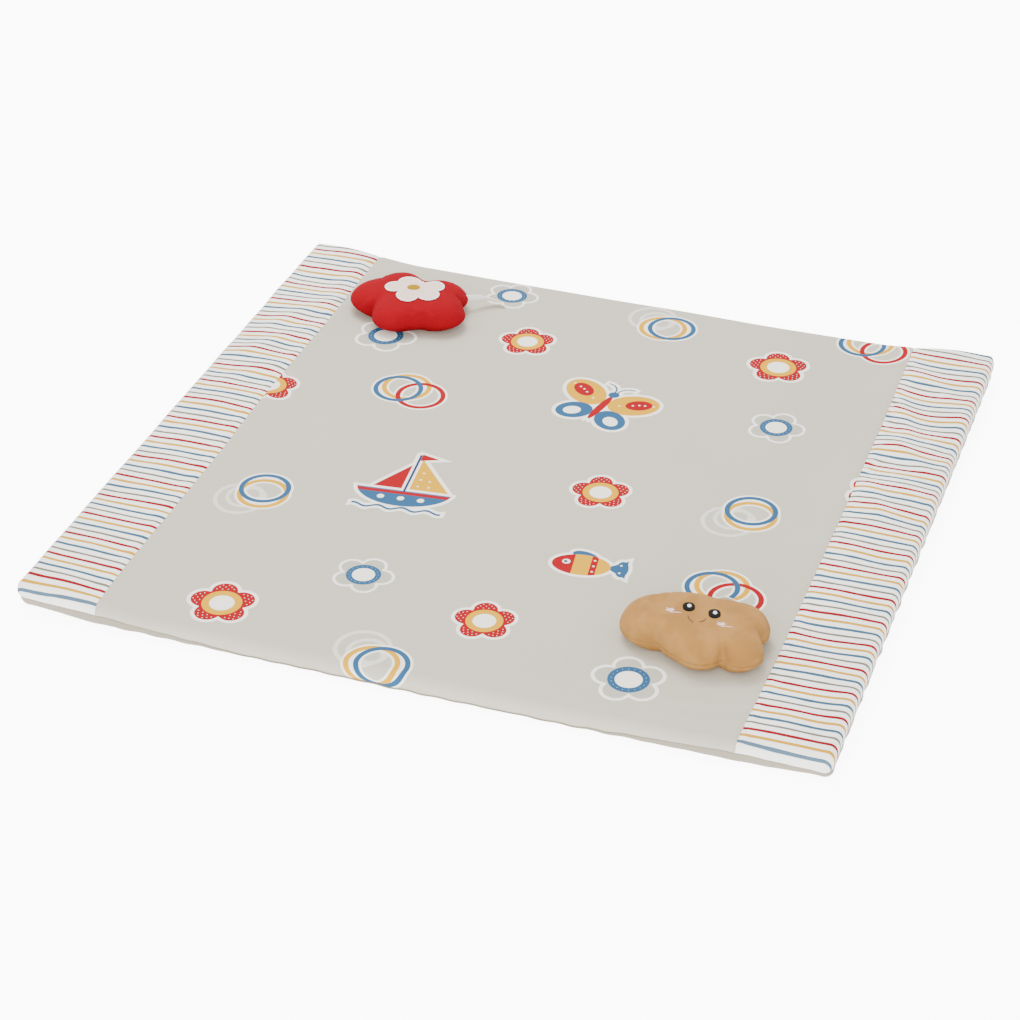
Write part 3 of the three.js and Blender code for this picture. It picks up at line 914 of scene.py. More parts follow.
class ClothGroups:
    """The shader node groups that the finishes share."""

    def __init__(self) -> None:
        """Builds each group once."""
        self.weave = self.make_weave()
        self.pile = self.make_pile()
        self.tone = self.make_tone()
        self.stitch = self.make_stitch()
        self.ellipse = self.make_ellipse()
        self.petals = self.make_petals()

    @staticmethod
    def make_weave() -> bpy.types.NodeTree:
        """Plain weave. Warp and weft are arches of a sine, and a chequer says which lies on top.

        Returns:
            The group.
        """
        group = GroupMaker("plain_weave", ("Where", "Pitch"), ("Height", "Shade"))
        where, pitch = group.inputs
        u, v, _ = group.sheet.split(where)
        warp = (u / pitch * math.pi).sine()
        weft = (v / pitch * math.pi).sine()
        over = (warp * weft).rise(-0.15, 0.15)
        arch = abs(warp) * over + abs(weft) * (over * -1.0 + 1.0)
        slub = group.sheet.noise(where, 0.9, 3.0)
        height = arch * 0.75 + slub * 0.5
        # The shade is darker where the height is low. That is partly painted shade in the gaps between the threads
        # and partly the yarn's own uneven slub.
        return group.done(height, height * 0.16 + 0.86)

    @staticmethod
    def make_pile() -> bpy.types.NodeTree:
        """Short pile: fine tufts, and soft patches where the pile leans another way.

        Returns:
            The group.
        """
        group = GroupMaker("short_pile", ("Where", "Tuft"), ("Height", "Shade", "Lean"))
        where, tuft = group.inputs
        tufts = group.sheet.noise(group.sheet.scaled(where, group.sheet.math("DIVIDE", 1.0, tuft)), 1.0, 3.0)
        brushed = group.sheet.noise(where, 0.16, 2.0)
        lean = group.sheet.noise(where, 0.032, 2.0).rise(0.4, 0.62)
        height = tufts * 0.7 + brushed * 0.8
        # The shade goes with the tufts. It is partly their own uneven tone and partly painted shade where they lie
        # low.
        return group.done(height, tufts * 0.22 + 0.89, lean)

    @staticmethod
    def make_tone() -> bpy.types.NodeTree:
        """Faint uneven tone of a printed or washed cloth, of about 1.

        Returns:
            The group.
        """
        group = GroupMaker("uneven_tone", ("Where", "Depth"), ("Tone",))
        where, depth = group.inputs
        broad = group.sheet.noise(where, 0.009, 2.0) - 0.5
        fine = group.sheet.noise(where, 0.08, 3.0) - 0.5
        return group.done((broad * 1.4 + fine * 0.6) * depth + 1.0)

    @staticmethod
    def make_stitch() -> bpy.types.NodeTree:
        """Satin stitch: threads side by side, each an arch of a sine across its width.

        Returns:
            The group.
        """
        group = GroupMaker("satin_stitch", ("Where", "Pitch"), ("Height", "Shade"))
        where, pitch = group.inputs
        u, _, _ = group.sheet.split(where)
        wander = group.sheet.noise(where, 0.35, 1.0) * 0.5
        arch = abs(((u + wander) / pitch * math.pi).sine())
        # The shade is painted shade: darker between the threads, where each arch runs low.
        return group.done(arch, arch * 0.3 + 0.76)

    @staticmethod
    def make_ellipse() -> bpy.types.NodeTree:
        """Distance to an ellipse, below 0 inside it.

        With k the length of the place over the radii, and m that over the radii squared, the
        distance is close to k times (k - 1) over m.

        Returns:
            The group.
        """
        labels = ("X", "Y", "Middle X", "Middle Y", "Radius X", "Radius Y", "Turn")
        group = GroupMaker("ellipse_distance", labels, ("Distance",))
        x, y, mx, my, rx, ry, turn = group.inputs
        dx, dy = x - mx, y - my
        cosine, sine = turn.cosine(), turn.sine()
        along = (dx * cosine + dy * sine) / rx
        across = (dy * cosine - dx * sine) / ry
        k = length(along, across)
        m = length(along / rx, across / ry)
        return group.done(k * (k - 1.0) / (m + 1e-5))

    @staticmethod
    def make_petals() -> bpy.types.NodeTree:
        """Folds the plane onto one of five petals: places along it and across it.

        Returns:
            The group.
        """
        group = GroupMaker("five_petals", ("X", "Y"), ("Along", "Across"))
        x, y = group.inputs
        turn = group.sheet.math("ARCTAN2", x, y) / (2 * math.pi / 5) + 0.5
        folded = (group.sheet.math("FRACT", turn + 5.0) - 0.5) * (2 * math.pi / 5)
        far = length(x, y)
        return group.done(far * folded.cosine(), far * folded.sine())


@dataclass(frozen=True)
class Inks:
    """The colours that the cloth is printed in."""

    red: Colour = srgb(150, 1, 14)
    blue: Colour = srgb(42, 84, 120)
    yellow: Colour = srgb(206, 152, 16)
    halo: Colour = srgb(240, 237, 225)
    ghost: Colour = srgb(212, 208, 197)
    hatch: Colour = srgb(175, 171, 157)
    grey: Colour = srgb(110, 105, 94)
    navy: Colour = srgb(30, 50, 90)


class MotifPrinter:
    """Draws each kind of motif with distances in millimetres."""

    EDGE = 0.35

    def __init__(self, sheet: NodeSheet, groups: ClothGroups, inks: Inks, x: Signal, y: Signal) -> None:
        """Keeps the place within the motif."""
        self.sheet, self.groups, self.inks, self.x, self.y = sheet, groups, inks, x, y

    def ellipse(self, mx: float, my: float, rx: float, ry: float, turn: float = 0.0,
                mirrored: bool = False) -> Signal:
        """Distance to an ellipse, or to it and its mirror image left and right."""
        x = abs(self.x) if mirrored else self.x
        return self.sheet.use(self.groups.ellipse, x, self.y, mx, my, rx, ry, math.radians(turn))[0]

    def ring(self, mx: float, my: float, radius: float) -> Signal:
        """Distance to a circle's line."""
        return abs(length(self.x - mx, self.y - my) - radius)

    def polygon(self, *corners: tuple[float, float]) -> Signal:
        """Distance to a convex shape with its corners anticlockwise: the most of its sides.

        Args:
            corners: The corners' x and y.

        Returns:
            The distance, below 0 inside.
        """
        sides = []
        for (x1, y1), (x2, y2) in zip(corners, corners[1:] + corners[:1]):
            long = math.hypot(x2 - x1, y2 - y1)
            nx, ny = (y2 - y1) / long, -(x2 - x1) / long
            sides.append(self.x * nx + self.y * ny - (x1 * nx + y1 * ny))
        distance = sides[0]
        for side in sides[1:]:
            distance = distance.most(side)
        return distance

    def ink(self, colour: object, distance: Signal, ink: Colour, grow: float = 0.0) -> Signal:
        """Prints an ink where a distance is below grow."""
        return self.sheet.blend(distance.fall(grow - self.EDGE, grow + self.EDGE), colour, ink)

    def layers(self, colour: object, *parts: tuple[Signal, Colour]) -> Signal:
        """Prints shapes in turn, each one over those before it.

        Args:
            colour: What is printed so far.
            parts: Each shape's distance and its ink.

        Returns:
            The colour with the shapes on it.
        """
        for distance, ink in parts:
            colour = self.ink(colour, distance, ink)
        return colour

    def dots(self, colour: object, radius: float, *places: tuple[float, float],
             mirrored: bool = False) -> Signal:
        """Prints pale dots of one radius with their middles at the given places."""
        round_ones = (self.ellipse(mx, my, radius, radius, 0, mirrored) for mx, my in places)
        return self.layers(colour, *((distance, self.inks.halo) for distance in round_ones))

    def flower(self, colour: object) -> Signal:
        """A red flower with dotted petals, a yellow ring and a pale middle.

        Args:
            colour: The print so far.

        Returns:
            The print with the motif on it.
        """
        along, across = self.sheet.use(self.groups.petals, self.x, self.y)
        far = length(self.x, self.y)
        shape = (length(along - 23.4, across) - 15.2).melt(far - 26.4, 3.0)
        colour = self.ink(colour, shape, self.inks.halo, 4.6)
        colour = self.ink(colour, shape, self.inks.red)
        side = abs(across)
        for px, py in ((27.0, 3.4), (27.4, 10.2), (31.2, 0.0), (31.4, 7.0), (35.2, 3.6)):
            colour = self.ink(colour, length(along - px, side - py), self.inks.halo, 0.62)
        colour = self.ink(colour, far, self.inks.yellow, 23.6)
        return self.ink(colour, far, self.inks.halo, 14.7)

    def pale_flower(self, colour: object) -> Signal:
        """A pale outline of a flower round a dotted blue ring.

        Args:
            colour: The print so far.

        Returns:
            The print with the motif on it.
        """
        along, across = self.sheet.use(self.groups.petals, self.x, self.y)
        far = length(self.x, self.y)
        petal = (length(along - 25.2, across) - 17.3).melt(far - 28.5, 4.0)
        colour = self.ink(colour, petal, self.inks.hatch)
        colour = self.ink(colour, abs(petal), self.inks.halo, 2.2)
        colour = self.ink(colour, far, self.inks.blue, 24.6)
        turn = self.sheet.math("ARCTAN2", self.y, self.x) * (18 / (2 * math.pi))
        bead = self.sheet.math("FRACT", turn + 18.0) - 0.5
        dot = length(far - 20.3, bead * (2 * math.pi * 20.3 / 18))
        colour = self.ink(colour, dot, self.inks.ghost, 0.4)
        return self.ink(colour, far, self.inks.halo, 16.0)

    def rings(self, colour: object, *rings: tuple[float, float, Colour]) -> Signal:
        """Rings of one size with a pale edge round them all. The last one lies on top.

        Args:
            colour: What is printed so far.
            rings: Each ring's middle and ink.

        Returns:
            The colour with the rings on it.
        """
        drawn = [(self.ring(mx, my, 30.2), ink) for mx, my, ink in rings]
        edge = drawn[0][0]
        for distance, _ in drawn[1:]:
            edge = edge.least(distance)
        colour = self.ink(colour, edge, self.inks.halo, 6.4)
        for distance, ink in drawn:
            colour = self.ink(colour, distance, ink, 3.3)
        return colour

    def ring_trio(self, colour: object) -> Signal:
        """Linked yellow, red and blue rings."""
        return self.rings(colour, (-6.5, 8.5, self.inks.yellow), (17, -9, self.inks.red),
                          (-16.5, 2, self.inks.blue))

    def ring_pair(self, colour: object) -> Signal:
        """A blue ring over a yellow one, with faint rings behind them.

        Args:
            colour: The print so far.

        Returns:
            The print with the motif on it.
        """
        for mx, my, radius in ((-20.5, -32.5, 32.2), (-16.5, -25.5, 22.6), (-11, -18, 13.5)):
            colour = self.ink(colour, self.ring(mx, my, radius), self.inks.ghost, 2.7)
        return self.rings(colour, (2.5, -11.8, self.inks.yellow), (0, 0, self.inks.blue))

    def boat(self, colour: object) -> Signal:
        """A sailing boat: a blue hull with dots, two sails, a red flag and a wave.

        Args:
            colour: The print so far.

        Returns:
            The print with the motif on it.
        """
        hull = self.ellipse(0, -18, 62, 42).most(self.y + 24.0)
        mast = self.polygon((-1.6, -26), (1.6, -26), (1.6, 64), (-1.6, 64))
        big = self.polygon((5, -19), (56, -19), (5, 54))
        small = self.polygon((-5, -19), (-5, 38), (-42, -19))
        flag = self.polygon((1.6, 50), (26, 58), (1.6, 66))
        wave = abs(self.y + 66.0 - (self.x * 0.2).sine() * 3.0).most(abs(self.x) - 56.0)
        shape = hull.least(mast).least(big).least(small).least(flag).least(wave - 2.2)
        colour = self.ink(colour, shape, self.inks.halo, 5.0)
        band = self.ellipse(0, -18, 62, 42).most(abs(self.y + 29.5) - 3.0)
        colour = self.layers(colour, (hull, self.inks.blue), (band, self.inks.red), (mast, self.inks.navy),
                             (big, self.inks.yellow), (small, self.inks.red), (flag, self.inks.red))
        colour = self.ink(colour, wave, self.inks.blue, 2.2)
        colour = self.dots(colour, 4.6, (-26, -42), (0, -42), (26, -42))
        return self.dots(colour, 1.6, (14, -10), (28, -10), (14, 6), (26, 4), (14, 22))

    def butterfly(self, colour: object) -> Signal:
        """A butterfly with yellow and blue wings, dots and a red body.

        Args:
            colour: The print so far.

        Returns:
            The print with the motif on it.
        """
        upper = self.ellipse(36, 22, 35, 25, 35, True)
        lower = self.ellipse(27, -27, 25, 20, -40, True)
        body = self.ellipse(0, -4, 5.5, 33)
        head = self.ellipse(0, 33, 7.5, 7.5)
        feeler = abs(length(abs(self.x) - 19.0, self.y - 40.0) - 17.0).most(38.0 - self.y)
        feeler = feeler.most(abs(self.x) - 19.0)
        shape = upper.least(lower).least(body).least(head).least(feeler - 1.2)
        colour = self.ink(colour, shape, self.inks.halo, 5.0)
        upper_spot = self.ellipse(42, 26, 18, 12, 35, True)
        lower_spot = self.ellipse(29, -29, 12, 9.5, -40, True)
        colour = self.layers(colour, (upper, self.inks.yellow), (upper_spot, self.inks.red),
                             (lower, self.inks.blue), (lower_spot, self.inks.halo),
                             (body, self.inks.red), (head, self.inks.blue))
        colour = self.ink(colour, feeler, self.inks.blue, 1.2)
        return self.dots(colour, 1.5, (35, 22), (42, 27), (49, 30), (20, 12), (60, 34), mirrored=True)

    def fish(self, colour: object) -> Signal:
        """A fish with a red head, a yellow body, blue fins and dots.

        Args:
            colour: The print so far.

        Returns:
            The print with the motif on it.
        """
        body = self.ellipse(-6, 0, 36, 22)
        tail = self.polygon((24, 0), (50, -19), (50, 19)).least(self.ellipse(44, 0, 8, 17))
        fin = self.ellipse(-4, 20, 17, 9, -18)
        shape = body.least(tail).least(fin)
        colour = self.ink(colour, shape, self.inks.halo, 4.6)
        head = body.most(self.x + 16.0)
        band = body.most(abs(self.x - 9.0) - 4.0)
        eye, pupil = self.ellipse(-25, 4, 5, 5), self.ellipse(-25.8, 4, 2.4, 2.4)
        colour = self.layers(colour, (fin, self.inks.blue), (tail, self.inks.blue), (body, self.inks.yellow),
                             (head, self.inks.red), (band, self.inks.red), (eye, self.inks.halo),
                             (pupil, self.inks.navy))
        return self.dots(colour, 1.5, (9, 12), (9, 0), (9, -12), (42, 8), (42, -8))


@dataclass(frozen=True)
class Finish:
    """What a cloth's surface is like. Each kind of finish works out its cloth's colour and relief."""

    name: str
    colour: Colour
    roughness: float
    sheen: float
    relief: float
    pitch: float
    sheen_roughness: float = 0.45
    specular: float = 0.08
    polish: float = 0.08

    def material(self, groups: ClothGroups) -> bpy.types.Material:
        """Builds the material: its colour, its relief and a roughness that follows the relief.

        Args:
            groups: The shared node groups.

        Returns:
            The material.
        """
        material = bpy.data.materials.new(self.name)
        material.use_nodes = True
        material.node_tree.nodes.clear()
        material.diffuse_color = (*self.colour, 1.0)
        sheet = NodeSheet(material.node_tree)
        colour, height = self.cloth(sheet, groups)
        bump = sheet.node("ShaderNodeBump", {"Strength": 1.0, "Distance": self.relief * MM, "Height": height})
        shader = sheet.node("ShaderNodeBsdfPrincipled", {
            "Base Color": colour,
            "Roughness": height * -self.polish + (self.roughness + self.polish / 2),
            "Normal": Signal(sheet, bump.outputs[0]),
            "Sheen Weight": self.sheen,
            "Sheen Roughness": self.sheen_roughness,
            "Specular IOR Level": self.specular,
        })
        sheet.node("ShaderNodeOutputMaterial", {"Surface": Signal(sheet, shader.outputs[0])})
        return material


class WovenFinish(Finish):
    """A woven cloth that follows the piece's own cloth coordinates."""

    TONE_DEPTH = 0.05

    def drawn(self, sheet: NodeSheet, where: Signal) -> object:
        """The cloth's colour before its weave and tone: here one plain colour."""
        return self.colour

    def cloth(self, sheet: NodeSheet, groups: ClothGroups) -> tuple[Signal, Signal]:
        """Works out the weave, with its painted shade between the threads and an uneven tone over what is drawn.

        Args:
            sheet: The material's nodes.
            groups: The shared node groups.

        Returns:
            The colour and the relief.
        """
        where = sheet.attribute("cloth")
        height, shade = sheet.use(groups.weave, where, self.pitch)
        tone = sheet.use(groups.tone, sheet.place(), self.TONE_DEPTH)[0]
        return sheet.shade(self.drawn(sheet, where), shade * tone), height


@dataclass(frozen=True)
class PrintedFinish(WovenFinish):
    """The middle panel's cloth, with its printed motifs."""

    inks: Inks = field(default_factory=Inks)
    groups: ClothGroups | None = None

    def drawn(self, sheet: NodeSheet, where: Signal) -> Signal:
        """Prints each kind of motif where the mesh says that this kind is.

        Args:
            sheet: The material's nodes.
            where: The cloth coordinates.

        Returns:
            The cloth's colour.
        """
        x, y, kind = sheet.split(sheet.attribute("motif"))
        printer = MotifPrinter(sheet, self.groups, self.inks, x, y)
        drawings = {
            MotifKind.RED_FLOWER: printer.flower,
            MotifKind.PALE_FLOWER: printer.pale_flower,
            MotifKind.RING_TRIO: printer.ring_trio,
            MotifKind.RING_PAIR: printer.ring_pair,
            MotifKind.BOAT: printer.boat,
            MotifKind.BUTTERFLY: printer.butterfly,
            MotifKind.FISH: printer.fish,
        }
        colour = self.colour
        for motif, draw in drawings.items():
            here = abs(kind - float(motif.number)).fall(0.4, 0.5)
            colour = sheet.blend(here, colour, draw(self.colour))
        return colour


@dataclass(frozen=True)
class StripedFinish(WovenFinish):
    """The side panels' cloth: thin uneven stripes across it in four colours, in turn."""

    inks: Inks = Inks(red=srgb(134, 0, 18), blue=srgb(54, 88, 112), yellow=srgb(194, 144, 26))
    stripe_pitch: float = 12.475
    red_at: float = 4.0
    first_at: float = -463.0
    waver: float = 0.9
    swell: float = 1.3
    grey_thinner: float = 0.4
    front_painted_highlight: float = 0.05
    line_from: float = 1.35
    line_to: float = 1.95

    def drawn(self, sheet: NodeSheet, where: Signal) -> Signal:
        """Draws the stripes.

        With t the place along the side over the pitch, each whole t is a stripe's middle, and
        t modulo 4 names its colour. Noise that is long across the side swells and thins the line.
        In front of the first stripe, on the front roll, the inks are a little paler as a painted highlight, and
        nothing is printed further on.

        Args:
            sheet: The material's nodes.
            where: The cloth coordinates.

        Returns:
            The cloth's colour.
        """
        x, y, _ = sheet.split(where)
        uneven = sheet.noise(sheet.join(x * 0.55, y, 0.0), 0.09, 2.0) - 0.5
        t = (y - self.red_at + uneven * self.waver) / self.stripe_pitch + 400.5
        off = abs(sheet.math("FRACT", t) - 0.5) * self.stripe_pitch
        thick = sheet.noise(sheet.join(x, y * 3.0, 7.0), 0.045, 2.0) * self.swell
        turn = sheet.math("MODULO", sheet.math("FLOOR", t), 4.0)
        thin = abs(turn - 1.0).fall(0.4, 0.5) * self.grey_thinner
        front = y.fall(self.first_at - 1.0, self.first_at)
        line = (off - thick + thin).fall(self.line_from, self.line_to)
        ink = self.inks.red
        for number, colour in ((1.0, self.inks.grey), (2.0, self.inks.blue), (3.0, self.inks.yellow)):
            ink = sheet.blend(turn.rise(number - 0.6, number - 0.4), ink, colour)
        # Painted highlight: on the front roll the inks are paled a little towards the cloth.
        ink = sheet.blend(front * self.front_painted_highlight, ink, self.colour)
        line = line * y.rise(self.first_at - 12.5, self.first_at - 12.0)
        return sheet.blend(line, self.colour, ink)


@dataclass(frozen=True)
class VelourFinish(Finish):
    """A short-piled cloth that reads Object coordinates, lighter where its pile leans."""

    leaning: Colour = (1.0, 1.0, 1.0)
    lean_share: float = 0.5

    def cloth(self, sheet: NodeSheet, groups: ClothGroups) -> tuple[Signal, Signal]:
        """The colour, with patches of leaning pile, and the relief."""
        height, shade, lean = sheet.use(groups.pile, sheet.place(), self.pitch)
        return sheet.shade(sheet.blend(lean * self.lean_share, self.colour, self.leaning), shade), height


class StitchedFinish(Finish):
    """Satin stitch that follows the piece's own cloth coordinates, threads side by side along u."""

    def cloth(self, sheet: NodeSheet, groups: ClothGroups) -> tuple[Signal, Signal]:
        """The colour, with painted shade between the threads, and the relief of the threads."""
        height, shade = sheet.use(groups.stitch, sheet.attribute("cloth"), self.pitch)
        return sheet.shade(self.colour, shade), height


@dataclass(frozen=True)
class Lobe:
    """A circle on a toy's plan."""

    x: float
    y: float
    radius: float


def lobed_reach(lobes: tuple[Lobe, ...], sharpness: float, angle: Array) -> Array:
    """How far an outline of circles reaches from its middle: a soft maximum of where rays leave each.

    Args:
        lobes: The circles.
        sharpness: The power of the soft maximum. A higher one keeps the notches sharper.
        angle: Directions in radians.

    Returns:
        The reach in millimetres in each direction.
    """
    total = np.zeros_like(angle)
    for lobe in lobes:
        along = lobe.x * np.cos(angle) + lobe.y * np.sin(angle)
        left = lobe.radius**2 - (lobe.x**2 + lobe.y**2 - along**2)
        leaves = np.where(left > 0, np.maximum(0, along + np.sqrt(np.maximum(left, 0))), 0)
        total += leaves**sharpness
    return total ** (1 / sharpness)


@dataclass(frozen=True)
class ToyForm:
    """A stuffed toy's form on its own plan, and where it lies on the mat."""

    x: float
    y: float
    lobes: tuple[Lobe, ...]
    height: float
    rim_height: float
    dome_power: float
    flat_reach: float
    valley: float = 0.0
    sharpness: float = 14.0
    turn: float = 19.0
    rest_gap: float = 0.3
    start_inset: float = 0.2
    evened_over: float = 0.4

    def reach(self, angle: Array) -> Array:
        """The outline's reach in a direction."""
        return lobed_reach(self.lobes, self.sharpness, angle)

    def puff(self, x: Array, y: Array) -> Array:
        """How near a point is to the middle of its nearest circle: 1 there and 0 at its edge."""
        nearest = [1 - ((x - lobe.x) ** 2 + (y - lobe.y) ** 2) / lobe.radius**2 for lobe in self.lobes]
        return np.clip(np.max(nearest, 0), 0, 1)

    def start_surface(self, sectors: int = 180, rings: int = 26) -> Surface:
        """The toy before it is stuffed: a lens over and under its rim.

        Over the rim the height rises with root(1 - share to the dome's power), less the valleys
        between the circles. In the notches that share is taken of the reach evened over 0.4 radians
        each way, which keeps them short. Under the rim, the belly is flat and rolls up to the rim as
        a circle does.

        Args:
            sectors: Points round the outline.
            rings: Rings from the rim to the middle.

        Returns:
            The closed surface in the toy's own plan, with its underside at height 0.
        """
        angle = np.linspace(0, 2 * math.pi, sectors, endpoint=False)
        reach = self.reach(angle) - self.start_inset
        share = np.sin(np.linspace(math.pi / 2, 0, rings + 1)[:-1])[:, None]
        x, y = share * reach * np.cos(angle), share * reach * np.sin(angle)
        turns = np.linspace(-self.evened_over, self.evened_over, 9)
        even = np.mean([self.reach(angle + turn) for turn in turns], 0)
        inner = share * reach / np.maximum(reach, even)
        crown = np.sqrt(np.clip(1 - inner**self.dome_power, 0, 1)) * np.sqrt(1 - share**24)
        crown *= self.height - self.rim_height
        over = self.rim_height + crown * (1 - self.valley * (1 - self.puff(x, y)) ** 2)
        rolled = np.clip((share - self.flat_reach) / (1 - self.flat_reach), 0, 1)
        under = self.rim_height * (1 - np.sqrt(1 - rolled**2)) + 0 * x
        top = np.stack([x, y, over], -1).reshape(-1, 3)
        low = np.stack([x[1:], y[1:], under[1:]], -1).reshape(-1, 3)
        ends = np.array([[0, 0, self.height], [0, 0, 0]])
        upper = np.arange(rings * sectors).reshape(rings, sectors)
        lower = np.concatenate([upper[:1], rings * sectors + np.arange((rings - 1) * sectors).reshape(-1, sectors)])
        faces = lens_faces(upper, lower, len(top) + len(low))
        return Surface(np.concatenate([top, low, ends]), faces)

    def on_mat(self, points: Array, form: MatForm) -> Array:
        """Turns and places points of the toy's own plan on the mat's top.

        Args:
            points: The points, n by 3.
            form: The mat's form.

        Returns:
            The placed points.
        """
        x, y = turned(points[:, 0], points[:, 1], math.radians(self.turn), (self.x, self.y))
        return np.column_stack([x, y, points[:, 2] + form.plain_top(x, y) + self.rest_gap])


@dataclass(frozen=True)
class Stuffing:
    """How a toy's cover is blown up from its starting shape."""

    voxel: float = 2.6
    pressure: float = 4.0
    frames: int = 20
    furthest: float = 2.6
    quality: int = 6
    mass: float = 0.2
    stretch_stiffness: float = 8.0
    bend_stiffness: float = 0.8

    @staticmethod
    def read(mesh: bpy.types.Mesh) -> Array:
        """A mesh's points in millimetres."""
        return fetch(mesh.vertices, "co", 3).astype(float) / MM

    @staticmethod
    def write(mesh: bpy.types.Mesh, points: Array) -> None:
        """Sets a mesh's points from millimetres."""
        mesh.vertices.foreach_set("co", (points * MM).astype(np.float32).ravel())
        mesh.update()

    @staticmethod
    def settle(piece: bpy.types.Object) -> None:
        """Makes what the piece's modifiers show its own mesh, and takes them off.

        Args:
            piece: The piece.
        """
        graph = bpy.context.evaluated_depsgraph_get()
        made = bpy.data.meshes.new_from_object(piece.evaluated_get(graph))
        made.name = piece.name
        piece.modifiers.clear()
        piece.data = made

    def fill(self, piece: bpy.types.Object) -> None:
        """Remeshes the cover evenly, lets cloth under pressure move it, and rounds it once.

        No point moves further than the given limit from where it starts.

        Args:
            piece: The closed cover. Its mesh is replaced by the stuffed one.
        """
        remesh = piece.modifiers.new("even", "REMESH")
        remesh.mode = "VOXEL"
        remesh.voxel_size = self.voxel * MM
        self.settle(piece)
        start = self.read(piece.data)
        cloth = piece.modifiers.new("cloth", "CLOTH")
        cloth.settings.quality = self.quality
        cloth.settings.mass = self.mass
        cloth.settings.tension_stiffness = self.stretch_stiffness
        cloth.settings.compression_stiffness = self.stretch_stiffness
        cloth.settings.bending_stiffness = self.bend_stiffness
        cloth.settings.use_pressure = True
        cloth.settings.uniform_pressure_force = self.pressure
        cloth.settings.effector_weights.gravity = 0
        cloth.collision_settings.use_self_collision = False
        for number in range(1, self.frames + 1):
            bpy.context.scene.frame_set(number)
        graph = bpy.context.evaluated_depsgraph_get()
        moved = self.read(piece.evaluated_get(graph).data) - start
        piece.modifiers.clear()
        bpy.context.scene.frame_set(1)
        far = np.linalg.norm(moved, axis=1, keepdims=True)
        start = start + moved * np.minimum(1, self.furthest / np.maximum(far, 1e-9))
        log.info("%s stuffed, moved %.1f mm on average", piece.name, far.mean())
        self.write(piece.data, start)
        rounding = piece.modifiers.new("round", "SUBSURF")
        rounding.levels = rounding.render_levels = 1
        self.settle(piece)
        piece.data.polygons.foreach_set("use_smooth", np.ones(len(piece.data.polygons), bool))


class Crown:
    """The upper side of a finished toy, for what is sewn onto it."""

    LOOKS_UP = 0.15
    MARGIN = 8.0

    def __init__(self, piece: bpy.types.Object, near: int = 6) -> None:
        """Keeps the points whose normals look up.

        Args:
            piece: The finished toy, on the mat.
            near: How many neighbours a height is read from.
        """
        normals = fetch(piece.data.vertices, "normal", 3)
        self.points = Stuffing.read(piece.data)[normals[:, 2] > self.LOOKS_UP]
        self.near = near

    def height(self, x: Array, y: Array) -> Array:
        """The toy's height under points: the mean of its nearest points, the nearer the heavier.

        Args:
            x: The points' x.
            y: Their y.

        Returns:
            Heights in millimetres.
        """
        flat = np.column_stack([x.ravel(), y.ravel()])
        low, high = flat.min(0) - self.MARGIN, flat.max(0) + self.MARGIN
        inside = ((self.points[:, :2] > low) & (self.points[:, :2] < high)).all(1)
        known = self.points[inside]
        gap = ((flat[:, None, :] - known[None, :, :2]) ** 2).sum(-1)
        nearest = np.argpartition(gap, self.near, 1)[:, : self.near]
        weight = 1 / (np.take_along_axis(gap, nearest, 1) + 0.05)
        return ((known[nearest, 2] * weight).sum(1) / weight.sum(1)).reshape(x.shape)


def spline(points: Array, steps: int) -> Array:
    """A smooth curve through points, by the cubic of Catmull and Rom between each two.

    Args:
        points: The points, one a row.
        steps: How many equal steps the whole curve is cut into.

    Returns:
        One more point than steps, with the same number of columns.
    """
    padded = np.concatenate([[2 * points[0] - points[1]], points, [2 * points[-1] - points[-2]]])
    at = np.linspace(0, len(points) - 1, steps + 1)
    cell = np.minimum(at.astype(int), len(points) - 2)
    t = (at - cell)[:, None]
    a, b, c, d = (padded[cell + k] for k in range(4))
    curve = 2 * b + (c - a) * t + (2 * a - 5 * b + 4 * c - d) * t**2 + (3 * b - a - 3 * c + d) * t**3
    return curve / 2


def sweep(path: Array, side: Array, up: Array, section: Array, closed: bool) -> Surface:
    """Carries a section along a path.

    A point of the section at (a, b) goes to the path's point plus a times side plus b times up.

    Args:
        path: The path's points, n by 3.
        side: One unit vector for each point.
        up: Another, at right angles to it.
        section: The section's points, clockwise as seen along the path.
        closed: Whether the path runs back into itself.

    Returns:
        The closed surface, with cloth coordinates along and round it.
    """
    count, around = len(path), len(section)
    points = path[:, None] + section[None, :, :1] * side[:, None] + section[None, :, 1:] * up[:, None]
    index = np.arange(count * around).reshape(count, around)
    rows = np.concatenate([index, index[:1]]) if closed else index
    wrapped = np.concatenate([rows, rows[:, :1]], 1)
    faces = [grid_faces(wrapped)]
    if not closed:
        faces += [index[:1, ::-1], index[-1:]]
    step = np.linalg.norm(np.diff(path, axis=0), axis=1)
    run = np.concatenate([[0], np.cumsum(step)])
    edge = np.linalg.norm(np.roll(section, -1, 0) - section, axis=1)
    round_it = np.concatenate([[0], np.cumsum(edge)[:-1]])
    u, v = np.meshgrid(run, round_it, indexing="ij")
    return Surface(points.reshape(-1, 3), faces, np.column_stack([u.ravel(), v.ravel()]))


def track(path: Array, closed: bool) -> tuple[Array, Array]:
    """Finds which way a path runs, and the level direction to its right.

    Args:
        path: The path's points, n by 3.
        closed: Whether the path runs back into itself.

    Returns:
        A unit vector along the path for each point, and a level one at right angles to it.
    """
    along = np.roll(path, -1, 0) - np.roll(path, 1, 0) if closed else np.gradient(path, axis=0)
    along = along / np.linalg.norm(along, axis=1, keepdims=True)
    side = np.column_stack([along[:, 1], -along[:, 0], np.zeros(len(along))])
    return along, side / np.linalg.norm(side, axis=1, keepdims=True)


def oval(width: float, thickness: float, count: int) -> Array:
    """An oval section, clockwise."""
    angle = -np.linspace(0, 2 * math.pi, count, endpoint=False)
    return np.column_stack([np.cos(angle) * width / 2, np.sin(angle) * thickness / 2])


